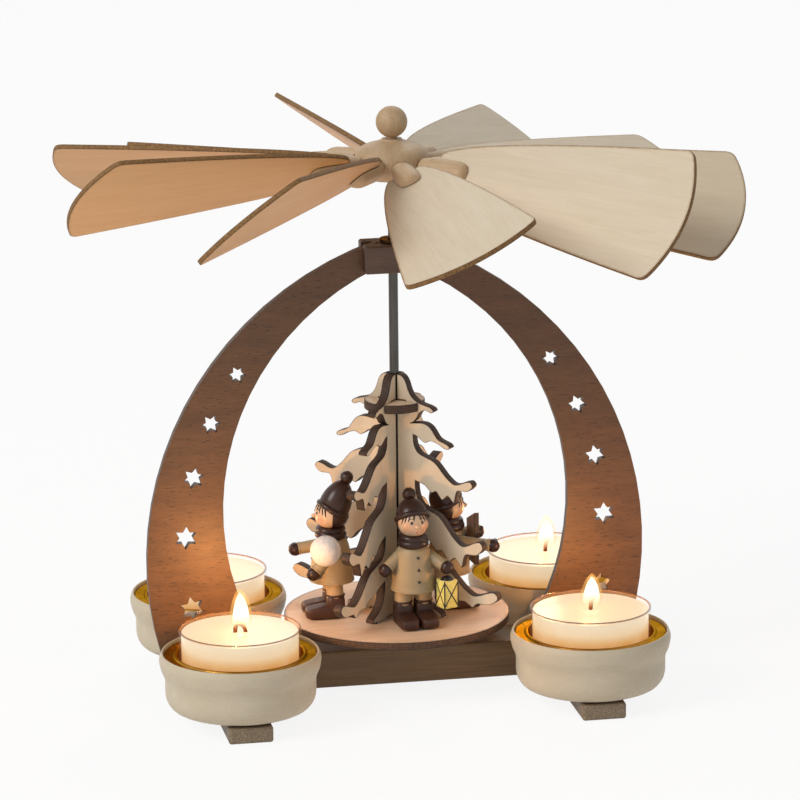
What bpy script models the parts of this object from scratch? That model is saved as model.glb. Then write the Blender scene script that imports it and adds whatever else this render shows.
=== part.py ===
"""Christmas pyramid: a carousel under an arch, turned by the warm air of four tealights.

Metres, Z up. X runs along the arch, Y to the back. The origin is on the floor, under the shaft.
"""

import math

import bmesh
import bpy
from mathutils import Euler, Matrix, Vector

MM = 0.001
WELD = 0.001 * MM
ROUND_SIDES = 24
SMALL_SIDES = 12
LIMB_SIDES = 8

# Space left between two pieces that touch.
GAP = 0.3 * MM

# Base: a board on two cross bars.
BAR_WIDTH = 14 * MM
BAR_HEIGHT = 5.3 * MM
BAR_OVERHANG = 20.7 * MM
BAR_EDGE = 0.8 * MM
BOARD_OVERHANG = 14.6 * MM
BOARD_DEPTH = 17.8 * MM
BOARD_HEIGHT = 12 * MM
BOARD_LIFT = 1.8 * MM
BOARD_EDGE = 0.6 * MM

# Tealights.
TEALIGHT_RADIUS = 19.25 * MM
TEALIGHT_HEIGHT = 16.2 * MM
TEALIGHT_PROUD = 7.4 * MM
SHELL_WALL = 0.7 * MM
WAX_DROP = 1.1 * MM
WAX_DISH = 0.5 * MM
WICK_RADIUS = 0.7 * MM
WICK_HEIGHT = 5 * MM

# Candle cups and the brass liners that hold the tealights.
LINER_PLAY = 0.6 * MM
LINER_WALL = 0.7 * MM
LINER_SEAT = 1 * MM
CUP_WALL = 4.9 * MM
CUP_RIM = 1.5 * MM
CUP_WAIST = 1.7 * MM
CUP_FOOT_INSET = 6.2 * MM
CUP_HEIGHT = 18.5 * MM
CUP_TO_BOARD = 1.6 * MM
CUP_TO_TURNTABLE = 4.2 * MM

# Arch: each arm lies between two arcs with centres past the middle, and its stars lie on a third one.
# The inner arc and that of the stars are counted from the outer.
ARM_THICKNESS = 3 * MM
OUTER_SETBACK = 26.9 * MM
OUTER_HEIGHT = 43 * MM
OUTER_RADIUS = 107.6 * MM
INNER_SETBACK = 2.1 * MM
INNER_LIFT = 16.5 * MM
INNER_NARROWER = 22.6 * MM
ARC_STEPS = 20
TENON_LENGTH = 13 * MM
TENON_DEPTH = 6 * MM
STAR_SETBACK = 7.7 * MM
STAR_LIFT = 4.3 * MM
STAR_NARROWER = 4.8 * MM
STAR_ANGLES = (34.0, 24.0, 13.8, 2.8, -10.4)
STAR_TOP_RADIUS = 2.9 * MM
STAR_GROWTH = 0.3 * MM
STAR_WAIST = 0.56

# Block at the top of the arch and the bush in it.
BLOCK_LENGTH = 20 * MM
BLOCK_DEPTH = 13 * MM
BLOCK_HEIGHT = 9 * MM
BLOCK_PROUD = 1.2 * MM
BLOCK_WEB = 9.6 * MM
BLOCK_EDGE = 0.5 * MM
BUSH_WALL = 1.2 * MM
BUSH_FLANGE = 1.2 * MM
BUSH_FLANGE_HEIGHT = 0.8 * MM

# Shaft and its lower bearing.
SHAFT_RADIUS = 1.5 * MM
SHAFT_POINT = 3 * MM
BEARING_WALL = 2.2 * MM
BEARING_HEIGHT = 5 * MM
BEARING_FLOOR = 1.5 * MM

# Turntable.
TURNTABLE_RADIUS = 36.2 * MM
TURNTABLE_THICKNESS = 2.4 * MM
TURNTABLE_RISE = 9.8 * MM
COLLAR_RADIUS = 8 * MM
COLLAR_TO_BOARD = 1.4 * MM

# Tree: four fretwork fins round the shaft, with a disc that locks them together near the top.
FIN_AZIMUTHS = {"front_left": -130.0, "front_right": -40.0, "back_right": 50.0, "back_left": 140.0}
FIN_THICKNESS = 3 * MM
TREE_HEIGHT = 78.6 * MM
TREE_REACH = 37 * MM
TREE_TOP_REACH = 2.6 * MM
FOOT_REACH = 17.5 * MM
TAB_START = 9 * MM
TAB_LENGTH = 6.5 * MM
LOCK_RADIUS = 9.7 * MM
LOCK_THICKNESS = 2.8 * MM
LOCK_BELOW_CROWN = 0.5 * MM
LOCK_SLOT_START = 4.6 * MM

# Tips and notches of the tiers from the crown down, in shares of the reach and height of the tree.
TIP_SHARES = ((0.405, 0.863), (0.562, 0.719), (0.765, 0.578), (0.859, 0.327), (1.0, 0.125))
NOTCH_SHARES = ((0.176, 0.803), (0.205, 0.757), (0.222, 0.565), (0.252, 0.344), (0.265, 0.156))

# Edges of the tiers in shares of the way from notch to tip. The crown and the second tier are whole.
# The other tiers have an upper edge with a lobe at its end, then a snowy lower edge, given as the share
# of the way back and the depth in shares of the reach. Each tier has its own share of that depth.
CROWN_EDGE = (
    (0.09, 0.04),
    (0.19, 0.19),
    (0.27, 0.45),
    (0.38, 0.65),
    (0.57, 0.79),
    (0.81, 0.86),
    (0.95, 0.92),
    (1.0, 1.0),
    (0.92, 1.06),
    (0.75, 1.0),
    (0.6, 1.08),
    (0.52, 1.24),
    (0.42, 1.38),
)
SECOND_EDGE = (
    (0.15, -0.05),
    (0.33, -0.07),
    (0.48, 0.06),
    (0.58, 0.3),
    (0.69, 0.62),
    (0.83, 0.76),
    (0.95, 0.86),
    (1.0, 1.0),
    (0.94, 1.09),
    (0.83, 1.04),
    (0.71, 0.89),
    (0.52, 0.77),
    (0.38, 0.89),
    (0.26, 0.77),
    (0.17, 0.62),
)
TIER_EDGE = (
    (0.01, 0.22),
    (0.1, 0.43),
    (0.36, 0.58),
    (0.54, 0.86),
    (0.71, 1.05),
    (0.87, 0.98),
    (0.98, 0.94),
    (1.03, 1.05),
    (0.93, 1.18),
    (0.76, 1.2),
)
SNOW_EDGE = ((0.08, 0.2), (0.22, 0.11), (0.36, 0.2), (0.5, 0.09), (0.62, 0.13), (0.78, 0.04))
TIER_EDGES = (CROWN_EDGE, SECOND_EDGE, TIER_EDGE, TIER_EDGE, TIER_EDGE)
SNOW_DEPTHS = (0, 0, 1.0, 1.0, 0.35)
TRUNK_EDGE = ((0.1, 0.4), (0.4, 0.7), (0.97, 0.9))

# Blade wheel. Each blade is set by hand: degrees of swing off its even share, rise of its peg, and pitch.
WHEEL_CLEARANCE = 25.8 * MM
FIRST_AZIMUTH = -87.5
BLADE_SETTINGS = (
    (0.0, -4.0, 25.0),
    (3.7, -2.5, 54.8),
    (-2.0, -7.0, 38.6),
    (-0.4, -8.6, 24.0),
    (-2.6, -8.1, 35.0),
    (-1.0, -5.4, 36.0),
    (-6.0, -6.6, 15.8),
    (-12.0, -4.8, 33.2),
    (-0.4, 0.0, 40.8),
    (-0.9, 0.9, 39.9),
)
HUB_RADIUS = 11.8 * MM
HUB_BELOW = 5 * MM
HUB_ABOVE = 7.4 * MM
NECK_RADIUS = 3.2 * MM
SHAFT_IN_HUB = 6 * MM
STEM_RADIUS = 1.5 * MM
STEM_LENGTH = 4 * MM
BALL_RADIUS = 5 * MM
PEG_RADIUS = 4 * MM
PEG_SHANK_RADIUS = 1.8 * MM
PEG_END = 30 * MM
BLADE_THICKNESS = 1.5 * MM
BLADE_ROOT = 17.5 * MM
BLADE_ROOT_WIDTH = 10 * MM
BLADE_CORNER = 105.5 * MM
BLADE_TIP_WIDTH = 44 * MM
BLADE_TIP_BULGE = 6.5 * MM
BLADE_SIDE_CURVE = 0.62
BLADE_SIDE_STEPS = 7

# Doll children.
LEG_LENGTH = 11.2 * MM
LEG_RADIUS = 2.7 * MM
BOOT_LENGTH = 13 * MM
BOOT_FORWARD = 3 * MM
BOOT_WIDTH = 6.3 * MM
BOOT_HEIGHT = 5 * MM
COAT_LENGTH = 14.9 * MM
COAT_RADIUS = 7.2 * MM
SHOULDER_RADIUS = 4.4 * MM
HEAD_RISE = 7.2 * MM
HEAD_RADIUS = 5 * MM
HAT_TILT = 24.0
BOBBLE_RADIUS = 2.1 * MM
ARM_RADIUS = 2 * MM
GLOVE_RADIUS = 2.2 * MM

# Where each child stands and faces on the turntable, how high its hat rises over the middle of its head,
# and where its hands are: forward, to the side, and below its shoulders.
LANTERN_CHILD_AZIMUTH = -80.0
LANTERN_CHILD_FACING = -84.0
LANTERN_CHILD_STAND = 15.5 * MM
LANTERN_CHILD_HAT = 7.8 * MM
LANTERN_HAND_FORWARD = 6.5 * MM
LANTERN_HAND_DROP = 6.9 * MM
EMPTY_HAND_FORWARD = 1.5 * MM
EMPTY_HAND_SIDE = 9.6 * MM
EMPTY_HAND_DROP = 7.5 * MM
SNOWBALL_CHILD_AZIMUTH = 180.0
SNOWBALL_CHILD_FACING = 180.0
SNOWBALL_CHILD_STAND = 21 * MM
SNOWBALL_CHILD_HAT = 11.6 * MM
NEAR_HAND_FORWARD = 7 * MM
NEAR_HAND_SIDE = 6 * MM
NEAR_HAND_DROP = 10.8 * MM
FAR_HAND_FORWARD = 11 * MM
FAR_HAND_SIDE = 5 * MM
FAR_HAND_DROP = 5.3 * MM
SLED_CHILD_AZIMUTH = 5.0
SLED_CHILD_FACING = 5.0
SLED_CHILD_STAND = 17.4 * MM
SLED_CHILD_HAT = 8.5 * MM
SLED_HANDS_FORWARD = 12.5 * MM
SLED_HANDS_DROP = 4.9 * MM

# What the children carry.
LANTERN_WIDTH = 5.4 * MM
LANTERN_HEIGHT = 9 * MM
LANTERN_CAP = 1.4 * MM
LANTERN_TO_COAT = 0.3 * MM
LANTERN_TURN = 16.0
SNOWBALL_RADIUS = 4.9 * MM
SNOWBALL_FORWARD = 3.6 * MM
SLED_WIDTH = 9 * MM
SLED_LENGTH = 17.4 * MM
SLED_SLANT = 4.1 * MM
SLED_BELOW_HANDS = 7.2 * MM
SLED_SEAT = 0.8 * MM
SLED_RUNNER_DEPTH = 0.8 * MM
SLED_RUNNER_WIDTH = 1.2 * MM

# Heights and places that follow from the sizes above.
BOARD_TOP = BOARD_LIFT + BOARD_HEIGHT
SHAFT_BORE = SHAFT_RADIUS + GAP
LINER_BORE = TEALIGHT_RADIUS + LINER_PLAY
LINER_RADIUS = LINER_BORE + LINER_WALL
CUP_BORE = LINER_RADIUS + GAP
CUP_RADIUS = CUP_BORE + CUP_WALL - GAP
FLANGE_RADIUS = CUP_RADIUS - CUP_RIM
WAIST_RADIUS = CUP_RADIUS - CUP_WAIST
CUP_BASE = BAR_HEIGHT + GAP
CUP_TOP = CUP_BASE + CUP_HEIGHT
TEALIGHT_BASE = CUP_TOP + TEALIGHT_PROUD - TEALIGHT_HEIGHT
LINER_BASE = TEALIGHT_BASE - GAP - LINER_WALL
CUP_Y = BOARD_DEPTH / 2 + CUP_TO_BOARD + WAIST_RADIUS
CUP_X = math.sqrt((TURNTABLE_RADIUS + CUP_TO_TURNTABLE + CUP_RADIUS) ** 2 - CUP_Y**2)
BAR_LENGTH = 2 * (CUP_Y + BAR_OVERHANG)
BOARD_LENGTH = 2 * (CUP_X + BOARD_OVERHANG)
TURNTABLE_TOP = BOARD_TOP + TURNTABLE_RISE
TURNTABLE_BASE = TURNTABLE_TOP - TURNTABLE_THICKNESS
TREE_BASE = TURNTABLE_TOP + GAP
LOCK_RISE = TIP_SHARES[0][1] * TREE_HEIGHT - LOCK_BELOW_CROWN
SHOULDER_HEIGHT = LEG_LENGTH + COAT_LENGTH
HEAD_HEIGHT = SHOULDER_HEIGHT + HEAD_RISE
FIN_REACH = max(SHAFT_RADIUS, FIN_THICKNESS / 2) + GAP
BEARING_BASE = BOARD_TOP - BEARING_HEIGHT
BEARING_RADIUS = SHAFT_BORE + BEARING_WALL
OUTER_CENTRE = Vector((-OUTER_SETBACK, OUTER_HEIGHT))
INNER_CENTRE = OUTER_CENTRE + Vector((-INNER_SETBACK, INNER_LIFT))
INNER_RADIUS = OUTER_RADIUS - INNER_NARROWER


def arc_height(centre, radius, across):
    """Height of an arch arc at a distance from the middle."""
    return centre.y + math.sqrt(radius**2 - (across - centre.x) ** 2)


BLOCK_TOP = arc_height(OUTER_CENTRE, OUTER_RADIUS, BLOCK_LENGTH / 2) + BLOCK_PROUD
BLOCK_BASE = BLOCK_TOP - BLOCK_HEIGHT
WHEEL_HEIGHT = BLOCK_TOP + WHEEL_CLEARANCE
HUB_BASE = WHEEL_HEIGHT - HUB_BELOW
BLADE_SHARE = 360 / len(BLADE_SETTINGS)
BLADE_AZIMUTHS = [FIRST_AZIMUTH + BLADE_SHARE * k + setting[0] for k, setting in enumerate(BLADE_SETTINGS)]
NARROWEST = min(
    (after - before) % 360 for before, after in zip(BLADE_AZIMUTHS, BLADE_AZIMUTHS[1:] + BLADE_AZIMUTHS[:1])
)
PEG_CROWDING = math.sin(math.radians(NARROWEST) / 2)
PEG_SHOULDER = HUB_RADIUS + GAP
PEG_START = (PEG_SHANK_RADIUS + 2 * GAP) / PEG_CROWDING
PEG_SWELL = (PEG_RADIUS + GAP) / PEG_CROWDING


def new_material(name, colour, roughness, metallic=0.0):
    """A plain Principled material. The colour is an sRGB hex string."""
    made = bpy.data.materials.new(name)
    made.use_nodes = True
    shader = made.node_tree.nodes["Principled BSDF"]
    channels = [int(colour[k : k + 2], 16) / 255 for k in (0, 2, 4)]
    shader.inputs["Base Color"].default_value = (*[channel**2.2 for channel in channels], 1.0)
    shader.inputs["Roughness"].default_value = roughness
    shader.inputs["Metallic"].default_value = metallic
    return made


def place(name, bm, material, location=(0, 0, 0), degrees=(0, 0, 0), parent=None):
    """Turn a bmesh into an object of the scene."""
    mesh = bpy.data.meshes.new(name)
    bm.to_mesh(mesh)
    bm.free()
    if material:
        mesh.materials.append(material)
    made = bpy.data.objects.new(name, mesh)
    made.location = location
    made.rotation_euler = [math.radians(angle) for angle in degrees]
    made.parent = parent
    bpy.context.scene.collection.objects.link(made)
    return made


def boolean(target, operation, name, bm, parent=None):
    """Cut a helper body from the target or join it on. The helper is given in the parent's coordinates."""
    helper = place(name, bm, None, parent=parent)
    helper.hide_render = True
    helper.display_type = "WIRE"
    modifier = target.modifiers.new(name, "BOOLEAN")
    modifier.operation = operation
    modifier.solver = "EXACT"
    modifier.object = helper


def empty(name, location, parent=None):
    made = bpy.data.objects.new(name, None)
    made.location = location
    made.empty_display_size = 5 * MM
    made.parent = parent
    bpy.context.scene.collection.objects.link(made)
    return made


def turned(profile, sides=ROUND_SIDES):
    """A body turned about Z. The profile of (radius, height) ends on the axis twice, or closes on itself."""
    bm = bmesh.new()
    points = [bm.verts.new((radius, 0, height)) for radius, height in profile]
    edges = [bm.edges.new(pair) for pair in zip(points, points[1:])]
    if profile[0][0] > 0:
        edges.append(bm.edges.new((points[-1], points[0])))
    bmesh.ops.spin(
        bm, geom=points + edges, axis=(0, 0, 1), cent=(0, 0, 0), angle=math.tau, steps=sides, use_merge=True
    )
    bmesh.ops.remove_doubles(bm, verts=bm.verts, dist=WELD)
    bmesh.ops.recalc_face_normals(bm, faces=bm.faces)
    return bm


def plate(outline, thickness):
    """A flat plate in the XY plane, half of it above and half below."""
    bm = bmesh.new()
    add_plate(bm, outline, thickness)
    return bm


def add_plate(bm, outline, thickness):
    face = bm.faces.new([bm.verts.new((x, y, -thickness / 2)) for x, y in outline])
    grown = bmesh.ops.extrude_face_region(bm, geom=[face])["geom"]
    lifted = [item for item in grown if isinstance(item, bmesh.types.BMVert)]
    bmesh.ops.translate(bm, verts=lifted, vec=(0, 0, thickness))
    bmesh.ops.recalc_face_normals(bm, faces=bm.faces)


def add_box(bm, size, centre, turn=0.0):
    """A box, turned about Z round the origin after it is moved to its centre."""
    matrix = Matrix.Rotation(math.radians(turn), 4, "Z") @ Matrix.Translation(centre)
    bmesh.ops.create_cube(bm, size=1, matrix=matrix @ Matrix.Diagonal((*size, 1)))


def box(size, centre):
    bm = bmesh.new()
    add_box(bm, size, centre)
    return bm


def rounded_box(size, centre, edge, steps=2):
    bm = box(size, centre)
    bmesh.ops.bevel(bm, geom=bm.edges[:], offset=edge, segments=steps, profile=0.5, affect="EDGES")
    return bm


def ball(radius, centre, sides=SMALL_SIDES):
    bm = bmesh.new()
    bmesh.ops.create_uvsphere(
        bm, u_segments=sides, v_segments=sides // 2 + 1, radius=radius, matrix=Matrix.Translation(centre)
    )
    return bm


def rod(start, end, start_radius, end_radius, sides=SMALL_SIDES):
    """A round rod between two points."""
    bm = bmesh.new()
    add_rod(bm, start, end, start_radius, end_radius, sides)
    return bm


def add_rod(bm, start, end, start_radius, end_radius, sides=SMALL_SIDES):
    along = end - start
    turn = along.to_track_quat("Z", "Y").to_matrix().to_4x4()
    bmesh.ops.create_cone(
        bm,
        cap_ends=True,
        segments=sides,
        radius1=start_radius,
        radius2=end_radius,
        depth=along.length,
        matrix=Matrix.Translation((start + end) / 2) @ turn,
    )


def smoothed(points):
    """Points with one more between each pair, on a curve through them all."""
    made = []
    count = len(points)
    for k in range(count - 1):
        before = points[max(k - 1, 0)]
        after = points[min(k + 2, count - 1)]
        made.append(points[k])
        made.append((points[k] + points[k + 1]) * 0.5625 - (before + after) * 0.0625)
    made.append(points[-1])
    return made


for leftover in list(bpy.data.objects):
    bpy.data.objects.remove(leftover, do_unlink=True)

STAINED_WOOD = new_material("stained_wood", "7A4F2E", 0.6)
BASE_WOOD = new_material("base_wood", "5E4630", 0.6)
TURNED_WOOD = new_material("turned_wood", "CFC5B0", 0.5)
DISC_WOOD = new_material("disc_wood", "D9B592", 0.55)
PLY = new_material("pale_plywood", "D8CAB0", 0.6)
BRASS = new_material("brass", "B8862B", 0.3, 1.0)
STEEL = new_material("steel", "A5A5A0", 0.35, 1.0)
CLEAR = new_material("clear_plastic", "E8E4DA", 0.1)
WAX = new_material("wax", "F5E3B8", 0.45)
DOLL_PAINT = new_material("painted_doll_wood", "C9C0A8", 0.5)
LANTERN_PAINT = new_material("lantern_paint", "D8D06A", 0.5)
SNOW_PAINT = new_material("snow_paint", "EDEBE6", 0.7)

SIDES = {"left": -1, "right": 1}
CORNERS = {
    "front_left": (-CUP_X, -CUP_Y),
    "front_right": (CUP_X, -CUP_Y),
    "back_left": (-CUP_X, CUP_Y),
    "back_right": (CUP_X, CUP_Y),
}


def build_base():
    """Board on two cross bars, with mortises for the arch and a bore for the lower bearing."""
    middle = (0, 0, BOARD_LIFT + BOARD_HEIGHT / 2)
    plank = rounded_box((BOARD_LENGTH, BOARD_DEPTH, BOARD_HEIGHT), middle, BOARD_EDGE)
    board = place("base_board", plank, BASE_WOOD)
    cutter = bmesh.new()
    notch_top = BAR_HEIGHT + GAP
    mortise_depth = TENON_DEPTH + GAP
    for sign in SIDES.values():
        add_box(cutter, (BAR_WIDTH + 2 * GAP, 2 * BOARD_DEPTH, 2 * notch_top), (sign * CUP_X, 0, 0))
        add_box(
            cutter,
            (TENON_LENGTH + 2 * GAP, ARM_THICKNESS + 2 * GAP, 2 * mortise_depth),
            (sign * CUP_X, 0, BOARD_TOP),
        )
    lower = Vector((0, 0, BEARING_BASE - GAP))
    upper = Vector((0, 0, BOARD_TOP + BEARING_HEIGHT))
    add_rod(cutter, lower, upper, BEARING_RADIUS + GAP, BEARING_RADIUS + GAP, ROUND_SIDES)
    boolean(board, "DIFFERENCE", "board_cutter", cutter)
    for side, sign in SIDES.items():
        middle = (sign * CUP_X, 0, BAR_HEIGHT / 2)
        bar = rounded_box((BAR_WIDTH, BAR_LENGTH, BAR_HEIGHT), middle, BAR_EDGE)
        place(f"cross_bar_{side}", bar, BASE_WOOD)


def arm_outline():
    """Outline of the arm on +X, with the tenon at its foot and its end beside the web of the block."""
    foot = BOARD_TOP + GAP
    end = BLOCK_WEB / 2 + GAP
    outline = []
    for centre, radius in ((OUTER_CENTRE, OUTER_RADIUS), (INNER_CENTRE, INNER_RADIUS)):
        low = math.asin((foot - centre.y) / radius)
        high = math.acos((end - centre.x) / radius)
        angles = [low + (high - low) * k / ARC_STEPS for k in range(ARC_STEPS + 1)]
        arc = [centre + radius * Vector((math.cos(angle), math.sin(angle))) for angle in angles]
        outline += arc if not outline else arc[::-1]
    for across, height in ((-1, 0), (-1, -1), (1, -1), (1, 0)):
        outline.append(Vector((CUP_X + across * TENON_LENGTH / 2, foot + height * TENON_DEPTH)))
    return outline


def star_outline(angle, radius):
    """A six-pointed star between the two arcs of an arm, with a waist towards each arc."""
    centre = OUTER_CENTRE + Vector((-STAR_SETBACK, STAR_LIFT))
    reach = OUTER_RADIUS - STAR_NARROWER
    middle = centre + reach * Vector((math.cos(math.radians(angle)), math.sin(math.radians(angle))))
    outline = []
    for k in range(12):
        turn = math.radians(angle + 30 * k)
        point = radius * (1 if k % 2 else STAR_WAIST)
        outline.append(middle + point * Vector((math.cos(turn), math.sin(turn))))
    return outline


def build_arch():
    """Two arms with cut-out stars, the block between them and its bush."""
    for side, sign in SIDES.items():
        outline = [(sign * point.x, point.y) for point in arm_outline()]
        arm = place(f"arch_arm_{side}", plate(outline, ARM_THICKNESS), STAINED_WOOD, degrees=(90, 0, 0))
        cutter = bmesh.new()
        for k, angle in enumerate(STAR_ANGLES):
            star = star_outline(angle, STAR_TOP_RADIUS + k * STAR_GROWTH)
            add_plate(cutter, [(sign * point.x, point.y) for point in star], 3 * ARM_THICKNESS)
        boolean(arm, "DIFFERENCE", f"star_cutter_{side}", cutter, parent=arm)
    middle = (0, 0, BLOCK_TOP - BLOCK_HEIGHT / 2)
    block_body = rounded_box((BLOCK_LENGTH, BLOCK_DEPTH, BLOCK_HEIGHT), middle, BLOCK_EDGE, 1)
    block = place("arch_top_block", block_body, STAINED_WOOD)
    cutter = bmesh.new()
    slot_length = BLOCK_LENGTH
    for sign in SIDES.values():
        across = sign * (BLOCK_WEB / 2 + slot_length / 2)
        add_box(cutter, (slot_length, ARM_THICKNESS + 2 * GAP, 2 * BLOCK_HEIGHT), (across, 0, middle[2]))
    bush_radius = SHAFT_BORE + BUSH_WALL
    below = Vector((0, 0, BLOCK_BASE - BLOCK_HEIGHT))
    above = Vector((0, 0, BLOCK_TOP + BLOCK_HEIGHT))
    add_rod(cutter, below, above, bush_radius + GAP, bush_radius + GAP, ROUND_SIDES)
    boolean(block, "DIFFERENCE", "block_cutter", cutter)
    seat = BLOCK_TOP + GAP
    bush = (
        (SHAFT_BORE, seat + BUSH_FLANGE_HEIGHT),
        (bush_radius + BUSH_FLANGE, seat + BUSH_FLANGE_HEIGHT),
        (bush_radius + BUSH_FLANGE, seat),
        (bush_radius, seat),
        (bush_radius, BLOCK_BASE),
        (SHAFT_BORE, BLOCK_BASE),
    )
    place("top_bearing_bush", turned(bush), BRASS)
    bearing = (
        (0, BEARING_BASE + BEARING_FLOOR),
        (SHAFT_BORE, BEARING_BASE + BEARING_FLOOR),
        (SHAFT_BORE, BOARD_TOP),
        (BEARING_RADIUS, BOARD_TOP),
        (BEARING_RADIUS, BEARING_BASE),
        (0, BEARING_BASE),
    )
    place("bottom_bearing_cup", turned(bearing), BRASS)


def cup_profile():
    """Turned cup: bore with a rebate for the flange of the liner, lip, waist and rounded foot."""
    rebate = CUP_TOP - LINER_SEAT - LINER_WALL - GAP
    foot = CUP_RADIUS - CUP_FOOT_INSET
    return (
        (0, LINER_BASE - GAP),
        (CUP_BORE, LINER_BASE - GAP),
        (CUP_BORE, rebate),
        (FLANGE_RADIUS + GAP, rebate),
        (FLANGE_RADIUS + GAP, CUP_TOP),
        (CUP_RADIUS - 0.4 * CUP_RIM, CUP_TOP),
        (CUP_RADIUS, CUP_BASE + 0.86 * CUP_HEIGHT),
        (CUP_RADIUS - 0.65 * CUP_WAIST, CUP_BASE + 0.64 * CUP_HEIGHT),
        (WAIST_RADIUS, CUP_BASE + 0.46 * CUP_HEIGHT),
        (WAIST_RADIUS, CUP_BASE + 0.24 * CUP_HEIGHT),
        (foot + 0.7 * (WAIST_RADIUS - foot), CUP_BASE + 0.08 * CUP_HEIGHT),
        (foot, CUP_BASE),
        (0, CUP_BASE),
    )


def build_candles():
    """Cups on the cross bars, each with a brass liner and a tealight that lifts out."""
    flange = CUP_TOP - LINER_SEAT
    liner = (
        (0, LINER_BASE + LINER_WALL),
        (LINER_BORE, LINER_BASE + LINER_WALL),
        (LINER_BORE, flange),
        (FLANGE_RADIUS, flange),
        (FLANGE_RADIUS, flange - LINER_WALL),
        (LINER_RADIUS, flange - LINER_WALL),
        (LINER_RADIUS, LINER_BASE),
        (0, LINER_BASE),
    )
    shell = (
        (0, SHELL_WALL),
        (TEALIGHT_RADIUS - SHELL_WALL, SHELL_WALL),
        (TEALIGHT_RADIUS - SHELL_WALL, TEALIGHT_HEIGHT),
        (TEALIGHT_RADIUS, TEALIGHT_HEIGHT),
        (TEALIGHT_RADIUS, 0),
        (0, 0),
    )
    wax_base = SHELL_WALL + GAP
    wax_top = TEALIGHT_HEIGHT - WAX_DROP
    wax_radius = TEALIGHT_RADIUS - SHELL_WALL - GAP
    wax = (
        (0, wax_top - WAX_DISH + WICK_HEIGHT),
        (WICK_RADIUS, wax_top - WAX_DISH + WICK_HEIGHT),
        (WICK_RADIUS, wax_top - WAX_DISH),
        (0.7 * wax_radius, wax_top - WAX_DISH),
        (wax_radius, wax_top),
        (wax_radius, wax_base),
        (0, wax_base),
    )
    for corner, (x, y) in CORNERS.items():
        place(f"candle_cup_{corner}", turned(cup_profile()), TURNED_WOOD, location=(x, y, 0))
        place(f"cup_liner_{corner}", turned(liner), BRASS, location=(x, y, 0))
        tealight = empty(f"tealight_{corner}_axis", (x, y, TEALIGHT_BASE))
        place(f"tealight_shell_{corner}", turned(shell), CLEAR, parent=tealight)
        place(f"tealight_wax_{corner}", turned(wax), WAX, parent=tealight)


def fin_outline():
    """Outline of one fin: tiers from the top down, foot with its tab, then up beside the shaft."""
    start = Vector((TREE_TOP_REACH, TREE_HEIGHT))
    outline = [start]
    for tip_share, notch_share, shares, deepness in zip(TIP_SHARES, NOTCH_SHARES, TIER_EDGES, SNOW_DEPTHS):
        tip = Vector((tip_share[0] * TREE_REACH, tip_share[1] * TREE_HEIGHT))
        notch = Vector((notch_share[0] * TREE_REACH, notch_share[1] * TREE_HEIGHT))
        edge = [start + Vector((a * (tip.x - start.x), b * (tip.y - start.y))) for a, b in shares]
        snow = []
        for share, depth in SNOW_EDGE if deepness else ():
            snow.append(edge[-1].lerp(notch, share) - Vector((0, deepness * depth * (tip.x - start.x))))
        outline += smoothed([start] + edge + snow + [notch])[1:]
        start = notch
    span = FOOT_REACH - start.x
    outline += [Vector((start.x + a * span, start.y * (1 - b))) for a, b in TRUNK_EDGE]
    tab_end = TAB_START + TAB_LENGTH
    tab_depth = TURNTABLE_THICKNESS
    lock_base = LOCK_RISE - GAP
    lock_top = LOCK_RISE + LOCK_THICKNESS + GAP
    lock_reach = LOCK_SLOT_START + GAP
    corners = (
        (FOOT_REACH, 0),
        (tab_end, 0),
        (tab_end, -tab_depth),
        (TAB_START, -tab_depth),
        (TAB_START, 0),
        (FIN_REACH, 0),
        (FIN_REACH, lock_base),
        (lock_reach, lock_base),
        (lock_reach, lock_top),
        (FIN_REACH, lock_top),
        (FIN_REACH, TREE_HEIGHT),
    )
    return outline + [Vector(corner) for corner in corners]


def build_tree(rotor):
    """Four fins with their tabs in the turntable, and the lock disc across all four."""
    azimuths = FIN_AZIMUTHS.values()
    for name, azimuth in FIN_AZIMUTHS.items():
        fin = plate(fin_outline(), FIN_THICKNESS)
        place(f"tree_fin_{name}", fin, PLY, (0, 0, TREE_BASE), (90, 0, azimuth), rotor)
    lock = ((SHAFT_BORE, LOCK_THICKNESS), (LOCK_RADIUS, LOCK_THICKNESS), (LOCK_RADIUS, 0), (SHAFT_BORE, 0))
    lock_disc = place("tree_lock_disc", turned(lock), PLY, (0, 0, TREE_BASE + LOCK_RISE), parent=rotor)
    cutter = bmesh.new()
    for azimuth in azimuths:
        size = (LOCK_RADIUS, FIN_THICKNESS + 2 * GAP, 3 * LOCK_THICKNESS)
        add_box(cutter, size, (LOCK_SLOT_START + LOCK_RADIUS / 2, 0, LOCK_THICKNESS / 2), azimuth)
    boolean(lock_disc, "DIFFERENCE", "lock_cutter", cutter, parent=lock_disc)
    disc = (
        (SHAFT_BORE, TURNTABLE_TOP),
        (TURNTABLE_RADIUS, TURNTABLE_TOP),
        (TURNTABLE_RADIUS, TURNTABLE_BASE),
        (SHAFT_BORE, TURNTABLE_BASE),
    )
    turntable = place("turntable_disc", turned(disc, 2 * ROUND_SIDES), DISC_WOOD, parent=rotor)
    cutter = bmesh.new()
    for azimuth in azimuths:
        size = (TAB_LENGTH + 2 * GAP, FIN_THICKNESS + 2 * GAP, 3 * TURNTABLE_THICKNESS)
        add_box(cutter, size, (TAB_START + TAB_LENGTH / 2, 0, TURNTABLE_TOP), azimuth)
    boolean(turntable, "DIFFERENCE", "turntable_cutter", cutter, parent=rotor)
    top = TURNTABLE_BASE - GAP
    base = BOARD_TOP + COLLAR_TO_BOARD
    collar = (
        (SHAFT_BORE, top),
        (COLLAR_RADIUS, top),
        (COLLAR_RADIUS, (top + base) / 2),
        (0.7 * COLLAR_RADIUS, base),
        (SHAFT_BORE, base),
    )
    place("turntable_collar", turned(collar), TURNED_WOOD, parent=rotor)


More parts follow.
